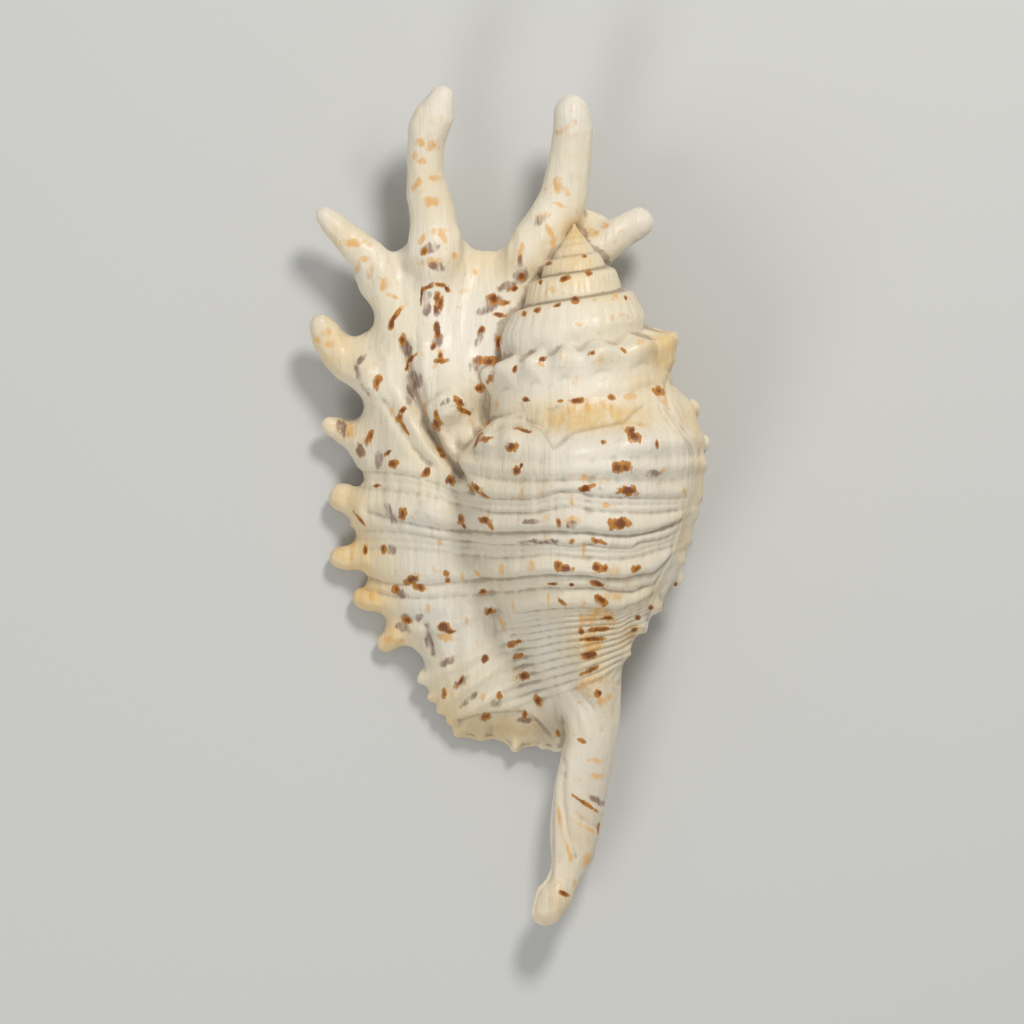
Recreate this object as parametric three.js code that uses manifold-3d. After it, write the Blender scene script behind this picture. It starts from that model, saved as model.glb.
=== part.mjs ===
// A spider conch shell, lying on its aperture with its back up.
// Millimetres. +Y runs to the end of the spire, +Z up, +X to the side away from the flared lip.
// The shell grew as one piece, so it is one solid: the coiled body, the flared lip with its
// fingers, the canal at the front end, and the hollow that opens in the ventral side.
import * as THREE from "three";
import { LoftGeometry } from "three/addons/geometries/LoftGeometry.js";
import { mergeVertices } from "three/addons/utils/BufferGeometryUtils.js";
import Module from "manifold-3d";

// The coil.
const APEX = new THREE.Vector3(10.5, 47.6, 17); // tip of the spire
const AXIS_LEAN = 0.0505; // drift of the axis to +X per millimetre down it
const FIRST_SUTURE = 3.57; // distance from the apex to the first suture, on top of the back
const WHORL_GROWTH = 1.53; // each whorl is this much longer than the one before
const BODY_END = 88; // distance from the apex at which the last whorl has become the canal
const SEEN_FROM = -75; // a ring follows its suture between these two angles, and steps back
const SEEN_TO = 225; // to its start between the other two, where the lip hides it
const SEEN_COLUMNS = 28;
const HIDDEN_COLUMNS = 4;
const NODULES_PER_TURN = 14;
const NODULE_HEIGHT = 1.4;
const NODULE_PHASE = 48; // degrees

// The lip.
const LIP_CENTRE = { x: -1.2, y: 6 }; // the lip fans out from here
const LIP_CORE = { top: 24, under: 8.5 }; // heights at the centre, inside the coil
const EDGE_HALF = 1.9; // half the thickness of the lip at its rounded edge
const LEAST_WALL = 3.6; // thickness of the lip where it is thinnest

// The hollow and the groove under the canal.
const FLOOR = -3; // the cutting shapes reach down to here
const PILLAR_LEFT = 225; // angle at which the hollow leaves the pillar, in degrees
const GROOVE_RADIUS = 1.7;

const BLOCK = 200; // the block that keeps what is above the surface
const TO_MIDDLE = { x: 0.48, y: 0.34 }; // brings the middle of the base to the origin

const wasm = await Module();
wasm.setup();

const { clamp, degToRad } = THREE.MathUtils;
const smooth = (t) => t * t * (3 - 2 * t);

// A smooth curve through [station, value] pairs that never overshoots, level beyond its ends.
function through(pairs) {
  const rate = (i) => (pairs[i + 1][1] - pairs[i][1]) / (pairs[i + 1][0] - pairs[i][0]);
  const slopes = pairs.map((p, i) => {
    if (i === 0 || i === pairs.length - 1) return 0;
    const before = rate(i - 1);
    const after = rate(i);
    return before * after > 0 ? (2 * before * after) / (before + after) : 0;
  });
  slopes[0] = rate(0);
  slopes[pairs.length - 1] = rate(pairs.length - 2);
  return (x) => {
    const at = clamp(x, pairs[0][0], pairs[pairs.length - 1][0]);
    const i = Math.max(pairs.findIndex((p) => at <= p[0]), 1);
    const [x0, y0] = pairs[i - 1];
    const [x1, y1] = pairs[i];
    const w = x1 - x0;
    const t = (at - x0) / w;
    return (
      y0 * (2 * t ** 3 - 3 * t ** 2 + 1) +
      slopes[i - 1] * w * (t ** 3 - 2 * t ** 2 + t) +
      y1 * (3 * t ** 2 - 2 * t ** 3) +
      slopes[i] * w * (t ** 3 - t ** 2)
    );
  };
}

// A three.js geometry as a solid that can be joined and cut.
function solidOf(geometry) {
  const bare = new THREE.BufferGeometry().copy(geometry);
  bare.deleteAttribute("normal");
  bare.deleteAttribute("uv");
  const merged = mergeVertices(bare, 1e-4);
  return new wasm.Manifold(
    new wasm.Mesh({
      numProp: 3,
      vertProperties: merged.attributes.position.array,
      triVerts: new Uint32Array(merged.index.array),
    }),
  );
}

// Closed rings, anticlockwise as seen from the last one, skinned and capped.
const skin = (rings) => solidOf(new LoftGeometry(rings, { capStart: true, capEnd: true }));

// Rounded heaps on a surface seen from above: [x, y, height, half length, half width, turn].
const BODY_HEAPS = [
  [20.2, 9.8, 2.6, 5.6, 4.4, 0],
  [-1.4, 11, 2.4, 6.4, 3.6, -0.1],
  [9.5, 7.6, 1.1, 5, 2.6, 0],
  [27, 11, 1.2, 3, 3, 0],
  [-5.6, 3, 1.1, 3, 2.6, 0.3],
];
const LIP_HEAPS = [
  [-11, 16, 2.6, 4.6, 3.8, 0.5],
  [-13.6, -2, 1, 6, 5, 0],
  [-4, -30, 1.2, 8, 5, 0.6],
];

function heap(heaps, x, y) {
  return heaps.reduce((sum, [hx, hy, height, length, width, turn]) => {
    const along = (x - hx) * Math.cos(turn) + (y - hy) * Math.sin(turn);
    const across = (y - hy) * Math.cos(turn) - (x - hx) * Math.sin(turn);
    return sum + height * Math.exp(-((along / length) ** 2) - (across / width) ** 2);
  }, 0);
}

// Ridges, and valleys where the height is negative: a line seen from above, its height and
// its half width.
const RIDGES = [
  { line: [[-14, 45], [-13.6, 35], [-12.8, 27], [-11.4, 19.6]], height: 2.6, width: 4 },
  { line: [[3.1, 43.4], [0.5, 36.6], [-2, 31.5], [-4.3, 24.7], [-7, 20]], height: 2.4, width: 4 },
  { line: [[-26, 42], [-22, 35.8], [-19.6, 30], [-17.6, 24]], height: 1.8, width: 3.2 },
  { line: [[-27.5, 24.7], [-22.4, 17.9], [-18.2, 11]], height: 1.8, width: 3.4 },
  { line: [[-26, 10.2], [-22, 8.2], [-16, 5]], height: 0.9, width: 3 },
  { line: [[-26, 0.6], [-14, -1.4]], height: 0.9, width: 3 },
  { line: [[-16, 27.2], [-15.4, 20.4], [-13, 14], [-9, 8]], height: -1.4, width: 2.8 },
];

function ridge(x, y) {
  const p = new THREE.Vector3(x, y, 0);
  const near = new THREE.Vector3();
  return RIDGES.reduce((sum, { line, height, width }) => {
    const apart = line.slice(1).map(([bx, by], i) => {
      const [ax, ay] = line[i];
      const part = new THREE.Line3(new THREE.Vector3(ax, ay, 0), new THREE.Vector3(bx, by, 0));
      return part.closestPointToPoint(p, true, near).distanceTo(p);
    });
    return sum + height * Math.exp(-((Math.min(...apart) / width) ** 2));
  }, 0);
}

// The coil: its axis, its sutures and the radius of its whorls, all by distance from the apex.
const axisHeight = through([
  [0, 17], [30, 17.5], [45, 17.3], [57, 15.6], [70, 13], [80, 11], [92, 10],
]);

function axisPoint(distance) {
  return new THREE.Vector3(
    APEX.x + AXIS_LEAN * distance,
    APEX.y - Math.sqrt(1 - AXIS_LEAN ** 2) * distance,
    axisHeight(distance),
  );
}

// Angles run from +X over the top of the back to the lip, which is the way the shell grew.
const sutureDistance = (whorl, angle) =>
  FIRST_SUTURE * WHORL_GROWTH ** (whorl + (angle - 90) / 360);
const sutureRadius = through([[0, 0], [10, 6.4], [18.3, 11.5], [25, 14.6], [29, 15.2], [34, 16]]);
const earlyRise = through([[0, 0], [0.06, 0.3], [0.18, 0.66], [0.4, 0.77], [0.7, 0.9], [1, 1]]);
const lastRise = through([[0, 0], [0.1, 0.3], [0.24, 0.98], [0.4, 1.06], [0.66, 0.94], [1, 1]]);
const WHORLS = [
  { steps: [0, 0.25, 0.65], rise: earlyRise, nodules: 0 },
  { steps: [0, 0.2, 0.65], rise: earlyRise, nodules: 0 },
  { steps: [0, 0.18, 0.5, 0.94], rise: earlyRise, nodules: 0 },
  { steps: [0, 0.06, 0.18, 0.5, 0.94], rise: earlyRise, nodules: 0.2 },
  { steps: [0, 0.12, 0.24, 0.4, 0.66, 0.95], rise: lastRise, nodules: 1 },
];
const noduleReach = through([[0.1, 0], [0.24, 1], [0.4, 0.8], [0.66, 0]]);

// The last whorl's radius in the four directions, by distance from the apex.
const bodyRight = through([
  [26.9, 15.8], [31.5, 18.1], [36.6, 19.4], [41.7, 19.6], [46.8, 18.9], [51.9, 17.4],
  [57, 15.5], [62, 12.8], [66, 9.8], [70, 6.4], [75, 4.2], [82, 3.2], [88, 2.2],
]);
const bodyTop = through([
  [29.9, 16.2], [33, 16.8], [36, 19], [39, 21], [43, 21.6], [50, 20.8], [57, 18.6], [64, 15],
  [70, 11.4], [76, 8], [83, 5], [88, 3.4],
]);
const bodyLip = through([
  [33, 15.8], [37, 20.4], [43, 22.4], [50, 21.3], [57, 19.5], [64, 16.6], [70, 13.6], [78, 9],
  [84, 6], [88, 4.4],
]);
const FLANK_SLOPE = 2.2; // how much flatter than round the side is that runs down to the lip
const bodyBelow = through([
  [30, 15.8], [40, 18.3], [50, 17.8], [57, 15.4], [64, 11.6], [72, 7.6], [84, 4], [88, 3],
]);
const BODY_STEPS = [
  0, 1, 2.2, 3.6, 5.2, 7, 9, 11.4, 14, 17, 20, 23.2, 26.6, 30, 33.6, 37.4, 41.4, 46, 52, 58,
];
const BODY_SETTLES = 3; // the step by which the last whorl has left the suture's radius

// A value for any angle from the values in the four directions.
function around(angle, right, top, lip, below) {
  const a = degToRad(angle);
  return (
    (right + top + lip + below) / 4 +
    ((right - lip) / 2) * Math.cos(a) +
    ((top - below) / 2) * Math.sin(a) +
    ((right - top + lip - below) / 4) * Math.cos(2 * a)
  );
}

const columns = [];
for (let i = 0; i <= SEEN_COLUMNS; i++) {
  const angle = SEEN_FROM + ((SEEN_TO - SEEN_FROM) * i) / SEEN_COLUMNS;
  columns.push({ angle, turn: angle });
}
for (let i = 1; i < HIDDEN_COLUMNS; i++) {
  const t = i / HIDDEN_COLUMNS;
  const angle = SEEN_TO + (SEEN_FROM + 360 - SEEN_TO) * t;
  columns.push({ angle, turn: SEEN_TO + (SEEN_FROM - SEEN_TO) * smooth(t) });
}

function ringPoint(angle, distance, radius) {
  const a = degToRad(angle);
  const side = radius * Math.cos(a);
  const p = axisPoint(distance);
  return new THREE.Vector3(p.x + side, p.y + AXIS_LEAN * side, p.z + radius * Math.sin(a));
}

function coil() {
  const rings = [columns.map(({ angle }) => ringPoint(angle, 0.1, 0.25))];
  WHORLS.forEach(({ steps, rise, nodules }, whorl) => {
    for (const step of steps) {
      rings.push(
        columns.map(({ angle, turn }) => {
          const from = sutureDistance(whorl, turn);
          const to = from * WHORL_GROWTH;
          const inner = sutureRadius(from);
          const wave = 0.5 + 0.5 * Math.cos(degToRad(NODULES_PER_TURN * (angle - NODULE_PHASE)));
          const bump = nodules * NODULE_HEIGHT * noduleReach(step) * wave;
          const radius = inner + (sutureRadius(to) - inner) * rise(step) + bump;
          return ringPoint(angle, from + (to - from) * step, radius);
        }),
      );
    }
  });
  const reach = BODY_STEPS[BODY_STEPS.length - 1];
  for (const step of BODY_STEPS) {
    rings.push(
      columns.map(({ angle, turn }) => {
        const from = sutureDistance(WHORLS.length, turn);
        const d = from + ((BODY_END - from) * step) / reach;
        const start = sutureRadius(from);
        const flank = angle > 90 && angle < 180 ? FLANK_SLOPE * Math.sin(degToRad(2 * angle)) ** 2 : 0;
        const full = around(angle, bodyRight(d), bodyTop(d), bodyLip(d), bodyBelow(d)) - flank;
        const settled = smooth(clamp(step / BODY_STEPS[BODY_SETTLES], 0, 1));
        const p = ringPoint(angle, d, start + (full - start) * settled);
        const faces = clamp(Math.sin(degToRad(angle)) * 2, 0, 1);
        const bump = faces * heap(BODY_HEAPS, p.x, p.y);
        return ringPoint(angle, d, start + (full - start) * settled + bump);
      }),
    );
  }
  return skin(rings);
}

// The lip's outline, notches and all. The fingers grow over it, so it only shows between them.
const LIP_OUTLINE = [
  [-3.7, 43], [-6.6, 43.5], [-8.3, 45], [-11, 45.4], [-14, 45.5], [-17, 45], [-20.2, 42.7],
  [-22.8, 42.2], [-25.2, 41.3], [-26.6, 38.9], [-25.4, 36], [-23.5, 33.5], [-23.1, 31.8],
  [-24.1, 29.8], [-26.5, 28.4], [-28.4, 25.6], [-29.1, 22.8], [-26.5, 19.7], [-25.2, 17.9],
  [-25, 15.8], [-27.5, 13.6], [-28, 9.4], [-26.2, 6.6], [-24.8, 5.1], [-24.8, 3.7], [-27.5, 0.9],
  [-27.5, -3.2], [-26.2, -5.1], [-27.2, -8.7], [-24.8, -11.2], [-24.1, -12.4], [-24.8, -15.8],
  [-21.9, -18.4], [-21.1, -19.9], [-21.1, -23], [-17.3, -23.8], [-15.3, -25.8], [-14.6, -27.2],
  [-15, -29.4], [-13.4, -32.8], [-11.1, -35.7], [-9.5, -38.6], [-6.1, -39.8], [-2.4, -40],
  [0.5, -41.3], [4.8, -41], [7.5, -42], [10.7, -41.7], [13.5, -35], [16, -26], [18, -16], [20, -6],
  [21, 3], [20.5, 13], [18, 22], [16, 30], [15, 36.5], [16.6, 41], [18.2, 44.5], [18, 47.6],
  [15.8, 48.9], [13.4, 49.9], [10, 51.5], [5.2, 50.5], [3.6, 47.9], [1.1, 45.5], [-1.9, 43.4],
];
// The lip as if it had no notches: [direction in degrees, reach, height of the edge, height it
// would have at the lip's centre].
const LIP_FORM = [
  [0, 22, 6, 12], [30, 23, 7, 12], [55, 29, 8, 12], [66, 45, 9.2, 13], [76, 45.5, 9, 13.5],
  [90, 37.5, 8.7, 15], [112, 40, 8.2, 16.5], [128, 38.5, 7.4, 18.5], [140, 33.5, 6, 20],
  [152, 29.5, 4.8, 21], [165, 27, 3.7, 21.6], [180, 25.4, 2.7, 22], [195, 26.4, 2.1, 22],
  [210, 28.6, 1.8, 22], [225, 31, 1.7, 21.5], [240, 34.8, 2.1, 21], [252, 40, 2.5, 20.5], [265, 46, 2.5, 19.5],
  [275, 47, 3.2, 18.5], [285, 48.5, 5.2, 16], [300, 38, 7, 12], [330, 24, 6, 12], [360, 22, 6, 12],
];
const [reachAt, edgeAt, vaultAt] = [1, 2, 3].map((i) =>
  through(LIP_FORM.map((row) => [row[0], row[i]])),
);
const topRise = through([
  [0, 1], [0.2, 0.95], [0.4, 0.8], [0.6, 0.62], [0.8, 0.38], [0.92, 0.17], [1, 0],
]);
const underRise = through([
  [0, 12], [0.2, 11], [0.4, 9.4], [0.6, 7.2], [0.8, 3.9], [0.92, 1.4], [1, 0],
]);
const TOP_SHARES = [0.14, 0.26, 0.37, 0.46, 0.54, 0.62, 0.69, 0.76, 0.83, 0.89, 0.95];
const UNDER_SHARES = [0.95, 0.8, 0.55, 0.3, 0.14];
const RIM_SHARE = 0.985; // where the rounding of the edge begins

// The lip's two faces at a point, seen from above.
function onLip(x, y) {
  const away = new THREE.Vector2(x - LIP_CENTRE.x, y - LIP_CENTRE.y);
  const direction = THREE.MathUtils.radToDeg(away.angle());
  const share = clamp(away.length() / reachAt(direction), 0, 1);
  const edge = edgeAt(direction);
  const top = edge + EDGE_HALF + (vaultAt(direction) - edge - EDGE_HALF) * topRise(share);
  return { share, top, under: Math.min(edge - EDGE_HALF + underRise(share), top - LEAST_WALL) };
}

function lip() {
  const centre = new THREE.Vector2(LIP_CENTRE.x, LIP_CENTRE.y);
  const outline = LIP_OUTLINE.map(([x, y]) => new THREE.Vector2(x, y));
  const ring = (share, height) =>
    outline.map((p) => {
      const { x, y } = centre.clone().lerp(p, share);
      return new THREE.Vector3(x, y, height(onLip(x, y), x, y));
    });
  const over = ({ top }, x, y) => top + ridge(x, y) + heap(LIP_HEAPS, x, y);
  const inside = TOP_SHARES[0] / 2;
  return skin([
    ring(inside, () => LIP_CORE.under),
    ...UNDER_SHARES.map((share) => ring(share, ({ under }) => under)).reverse(),
    ring(RIM_SHARE, ({ under }) => under + EDGE_HALF * 0.4),
    ring(1, ({ top, under }) => (top + under) / 2),
    ring(RIM_SHARE, (spot, x, y) => over(spot, x, y) - EDGE_HALF * 0.4),
    ...TOP_SHARES.map((share) => ring(share, over)).reverse(),
    ring(inside, () => LIP_CORE.top),
  ]);
}

// A round horn along stations of [x, y, z, radius], with a rounded end.
const HORN_END = [[0.8, 0.5], [0.4, 0.85]]; // share of the radius, and how far ahead

function horn(stations, sides, steps) {
  const line = new THREE.CatmullRomCurve3(stations.map(([x, y, z]) => new THREE.Vector3(x, y, z)));
  const last = stations.length - 1;
  const radius = through(stations.map((s, i) => [i / last, s[3]]));
  const { normals, binormals, tangents } = line.computeFrenetFrames(steps, false);
  const ring = (centre, r, frame) => {
    const points = [];
    for (let j = 0; j < sides; j++) {
      const a = (j / sides) * Math.PI * 2;
      const out = normals[frame].clone().multiplyScalar(Math.cos(a));
      out.addScaledVector(binormals[frame], Math.sin(a));
      points.push(centre.clone().addScaledVector(out, r));
    }
    return points;
  };
  const rings = [];
  for (let i = 0; i <= steps; i++) {
    const t = line.getUtoTmapping(i / steps);
    rings.push(ring(line.getPoint(t), radius(t), i));
  }
  const tip = line.getPoint(1);
  const end = stations[last][3];
  for (const [share, ahead] of HORN_END) {
    rings.push(ring(tip.clone().addScaledVector(tangents[steps], end * ahead), end * share, steps));
  }
  return skin(rings);
}

// The fingers: stations of [x, y, height of the middle above the lip's underside, radius].
const FINGERS = [
  // the short blunt one behind the spire
  {
    sides: 10,
    steps: 6,
    line: [
      [8, 38, 2, 2], [11, 40.6, 3.6, 3.2], [13.5, 42.5, 4, 3.5], [17, 45, 4, 3],
      [19.6, 46.9, 4.2, 2.7], [21.6, 47.9, 4.4, 2.4],
    ],
  },
  // the two long ones
  {
    sides: 12,
    steps: 12,
    line: [
      [-1, 34, 2, 2], [0.8, 38, 3.4, 3.2], [3.4, 43.4, 4.6, 4.5], [6.3, 47.5, 5, 4.5],
      [8.4, 50.8, 5.2, 4.15], [9.2, 54.9, 6, 3.9], [9.95, 59, 7.2, 3.66],
      [10.3, 63.1, 8.6, 3.5], [10.2, 65.6, 9.4, 3.3], [10.2, 66.7, 9.8, 2.9],
    ],
  },
  {
    sides: 12,
    steps: 13,
    line: [
      [-13.2, 33.5, 2, 2], [-13.2, 38, 3.8, 3.6], [-13.2, 42, 5.2, 4.9],
      [-13.4, 48.8, 5.6, 3.9], [-14.3, 52.9, 6.4, 3.7], [-14.6, 57, 7.4, 3.1],
      [-14.5, 61, 8.4, 3.15], [-14.2, 63.1, 9, 3.45], [-13.5, 65.2, 9.7, 3.4],
      [-12.8, 67.3, 10.4, 2.9], [-12.1, 68.7, 10.8, 2.1],
    ],
  },
  // down the side of the lip
  {
    sides: 10,
    steps: 8,
    line: [
      [-19, 33.6, 2, 1.8], [-20.4, 36.6, 3.2, 2.8], [-22, 39.2, 4, 3.6], [-24.8, 42.7, 4, 3],
      [-27.2, 44.7, 4.2, 2.6], [-29, 46.6, 4.6, 2.2], [-30.8, 48.5, 5.4, 1.9],
      [-31.7, 49.3, 5.6, 1.5],
    ],
  },
  {
    sides: 10,
    steps: 7,
    line: [
      [-18.4, 18.4, 2, 2], [-21, 20, 3.6, 3.2], [-23.5, 22, 4.4, 4], [-27.3, 24.2, 4.2, 3.8],
      [-29.9, 26.6, 4.2, 3.3], [-31.6, 29, 4.8, 2.6], [-32.3, 30.6, 5.4, 1.9],
    ],
  },
  {
    sides: 9,
    steps: 5,
    line: [
      [-18.4, 8.4, 2, 2], [-21.4, 9.4, 2.9, 2.7], [-24.5, 10.6, 3.2, 3], [-27.6, 12.1, 3, 2.4],
      [-29.8, 13.1, 3.2, 2], [-31.2, 13.9, 3.6, 1.3],
    ],
  },
  {
    sides: 9,
    steps: 4,
    line: [
      [-18, -1.8, 2, 2], [-21, -1.4, 3, 2.8], [-24, -0.6, 4.1, 3.2], [-27, 0.6, 3.2, 2.6],
      [-28.9, 1.6, 3.2, 2.1],
    ],
  },
  {
    sides: 9,
    steps: 4,
    line: [
      [-18, -8.3, 2, 2], [-23.5, -8.6, 3.5, 2.5], [-27, -8.9, 2.8, 2.1],
      [-29.2, -8.8, 2.8, 1.9],
    ],
  },
  {
    sides: 9,
    steps: 3,
    line: [
      [-16.6, -15.2, 2, 2], [-21.6, -15.7, 3.3, 2.4], [-25.2, -15.8, 2.6, 1.9],
    ],
  },
  {
    sides: 9,
    steps: 3,
    line: [
      [-14.6, -19.6, 2, 2], [-18.8, -21.5, 3.1, 2.3], [-21.1, -23, 2.4, 1.7],
    ],
  },
];

function finger({ sides, steps, line }) {
  const stations = line.map(([x, y, above, radius]) => {
    const spot = onLip(x, y);
    return [x, y, spot.under + above, radius];
  });
  return horn(stations, sides, steps);
}

const CANAL = [
  [14.2, -28, 11, 4.6], [13.9, -33, 10.6, 4.7], [13.4, -38, 10, 4.8], [12.7, -43, 9.4, 4.7],
  [11.4, -49, 9, 4.6], [10.7, -53.2, 9.1, 4.4], [10.4, -57.3, 9.3, 4.2], [9.9, -59.3, 9.4, 3.7],
  [9.5, -61.4, 9.6, 3], [8.7, -63.4, 9.8, 2.55], [7.5, -65.5, 10, 2.9], [6.5, -67.5, 10.2, 3.2],
  [5.7, -69, 10.3, 2.5],
];

// The small knobs in which the cords end, as horns from inside the shell: [x, y, z, radius].
const KNOBS = [
  [-15.4, -29.4, 3.4, 1.3], [-13.3, -33.1, 3, 1.2], [-9.2, -38.8, 2.8, 1.4], [0.5, -41.8, 3.4, 1.3],
  [5.4, -41.6, 4.4, 1.1], [31, 17, 10, 1.5], [32.8, 10.7, 10.4, 1.3], [31.6, 1.4, 10, 1.5],
  [29.9, -6, 9.6, 1.4], [28, -12.5, 9.2, 1.6], [24.2, -17.3, 9, 1.4], [21.4, -20.8, 9, 1.3],
];
const KNOB_MIDDLE = { x: 4, y: -8 }; // the knobs point away from here
const KNOB_ROOT = { back: 4, up: 1.6 }; // where a knob starts, behind its end

function knob([x, y, z, radius]) {
  const away = new THREE.Vector2(x - KNOB_MIDDLE.x, y - KNOB_MIDDLE.y).normalize();
  const { back, up } = KNOB_ROOT;
  const root = [x - away.x * back, y - away.y * back, z + up, radius * 1.4];
  return horn([root, [x - away.x, y - away.y, z, radius]], 7, 1);
}

// The hollow, by its sections: [y, outer radius round the axis, radius of the pillar, angle at
// which it ends round the far side, x of the pillar's edge at the mouth].
const HOLLOW = [
  [27, 5.5, 3, 120, 4.4], [21, 9.5, 3.8, 60, 5.8], [13, 13.6, 4.4, 15, 7.2], [5, 15, 4.6, -10, 7.6],
  [-3, 14.4, 4.4, -10, 8], [-11, 12, 3.8, 5, 8.8], [-18, 9.4, 3.2, 30, 9.8], [-25, 6.6, 2.6, 60, 11.2],
  [-31, 4.4, 2.2, 100, 12.4],
];
const HOLLOW_POINTS = 10;
const MOUTH_START = 198; // angle at which the hollow leaves its outer wall, in degrees

function hollow() {
  const rings = HOLLOW.map(([y, outer, pillar, until, edge]) => {
    const axis = axisPoint(APEX.y - y);
    const arc = (radius, from, to) => {
      const points = [];
      for (let i = 0; i < HOLLOW_POINTS; i++) {
        const a = degToRad(from + ((to - from) * i) / (HOLLOW_POINTS - 1));
        points.push(new THREE.Vector3(axis.x + radius * Math.cos(a), y, axis.z + radius * Math.sin(a)));
      }
      return points;
    };
    return [
      ...arc(outer, MOUTH_START, until),
      ...arc(pillar, until - 4, PILLAR_LEFT),
      new THREE.Vector3(edge, y, FLOOR),
      new THREE.Vector3(Math.min(edge - 4, axis.x - outer * 0.9), y, FLOOR),
    ].reverse();
  });
  return skin(rings);
}

// What is taken off the coil under the lip, so that the lip's underside is the ceiling there.
const MOUTH_ROWS = [34, 27, 20, 12, 4, -4, -12, -20, -28, -35, -40];
const MOUTH_LEFT = -14;
const mouthRight = through([[-40, 8], [-31, 11], [-18, 9], [5, 6.6], [27, 4], [34, 2.6]]);

function mouth() {
  const rings = MOUTH_ROWS.map((y) => {
    const right = mouthRight(y);
    const points = [new THREE.Vector3(right, y, FLOOR)];
    for (let i = 0; i <= 6; i++) {
      const x = right + ((MOUTH_LEFT - right) * i) / 6;
      const spot = onLip(x, y);
      points.push(new THREE.Vector3(x, y, (spot.under + spot.top) / 2));
    }
    points.push(new THREE.Vector3(MOUTH_LEFT, y, FLOOR));
    return points;
  });
  return skin(rings);
}

const GROOVE = [
  [11.6, -30, 5.2, GROOVE_RADIUS], [12.6, -38, 4.6, GROOVE_RADIUS], [11.2, -48, 3.8, GROOVE_RADIUS],
  [10.2, -57, 4.4, GROOVE_RADIUS], [8.6, -63, 6.8, 1.2], [6.6, -67.4, 6.6, 1],
];

const block = new THREE.BoxGeometry(BLOCK, BLOCK, BLOCK).translate(0, 0, BLOCK / 2);
const grown = [lip(), ...FINGERS.map(finger), horn(CANAL, 12, 15), ...KNOBS.map(knob)]
  .reduce((sum, piece) => sum.add(piece), coil().subtract(mouth()));
const shell = grown
  .subtract(hollow())
  .subtract(horn(GROOVE, 7, 9))
  .intersect(solidOf(block))
  .getMesh();

const geometry = new THREE.BufferGeometry();
geometry.setAttribute("position", new THREE.BufferAttribute(shell.vertProperties, 3));
geometry.setIndex(new THREE.BufferAttribute(shell.triVerts, 1));
geometry.translate(TO_MIDDLE.x, TO_MIDDLE.y, 0);
geometry.computeVertexNormals();

const porcelain = new THREE.MeshStandardMaterial({ color: 0xe9e1d0, roughness: 0.35, metalness: 0 });
const mesh = new THREE.Mesh(geometry, porcelain);
mesh.name = "shell";

const conch = new THREE.Group();
conch.add(mesh);
export default conch;
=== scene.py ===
# %% [markdown]
# # A spider conch shell
# The shell lies on its aperture with its back to the camera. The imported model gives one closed
# solid with the right outline and the right heights. This script keeps that shape and carves
# the finer relief into a copy of it: whorls, sutures, cords, nodules and growth lines. Then it
# paints the copy with a procedural porcelain that carries the brown and violet marks.

import math

import bmesh
import bpy
import numpy as np
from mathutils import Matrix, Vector, noise


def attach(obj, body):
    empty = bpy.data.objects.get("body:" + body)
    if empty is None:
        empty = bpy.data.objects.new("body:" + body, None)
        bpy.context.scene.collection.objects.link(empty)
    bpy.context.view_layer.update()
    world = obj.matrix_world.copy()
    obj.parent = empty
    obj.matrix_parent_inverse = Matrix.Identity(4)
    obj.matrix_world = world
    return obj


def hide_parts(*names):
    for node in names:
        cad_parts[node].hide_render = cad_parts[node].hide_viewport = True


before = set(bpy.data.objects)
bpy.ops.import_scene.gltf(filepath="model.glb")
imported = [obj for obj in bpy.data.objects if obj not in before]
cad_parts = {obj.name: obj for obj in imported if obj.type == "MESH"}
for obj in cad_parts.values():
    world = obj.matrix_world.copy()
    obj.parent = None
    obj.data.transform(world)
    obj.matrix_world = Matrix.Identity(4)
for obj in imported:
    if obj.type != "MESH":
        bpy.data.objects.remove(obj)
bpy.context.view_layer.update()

# %% [markdown]
# Every place on the shell is written as a point of the picture's frame, 1024 by 1024, seen
# straight from above. One helper turns such points into millimetres of the shared frame, and
# another turns them back. Metres come only when the mesh goes back to Blender.

# %% Units and the picture's frame
MM = 0.001
PICTURE = 1024
SCALE = 0.17  # millimetres on the shell for one point of the picture
MIDDLE = (512, 505)  # this point of the picture lies at SHIFT
SHIFT = (0.48, 0.34)  # millimetres from the frame's origin


def place(picture_points):
    """Points of the picture as millimetres on the shell."""
    p = np.array(picture_points, float).reshape(-1, 2)
    right = (p[:, 0] - MIDDLE[0]) * SCALE + SHIFT[0]
    up = (MIDDLE[1] - p[:, 1]) * SCALE + SHIFT[1]
    return np.column_stack([right, up])


def in_picture(p):
    """The points of the picture that lie over the given points of the shell."""
    right = (p[:, 0] - SHIFT[0]) / SCALE + MIDDLE[0]
    below = MIDDLE[1] - (p[:, 1] - SHIFT[1]) / SCALE
    return right, below


picture_middle = place([(PICTURE / 2, PICTURE / 2)])[0]
print("the picture's middle lies at", picture_middle.round(2), "mm")

# %% [markdown]
# A curve through a few pairs of numbers shapes the whorls and the grooves. It has to be smooth
# but may never swing past its points, or a whorl would bulge between two rings. A cubic whose
# slopes are the harmonic mean of the slopes on both sides does that.

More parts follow.
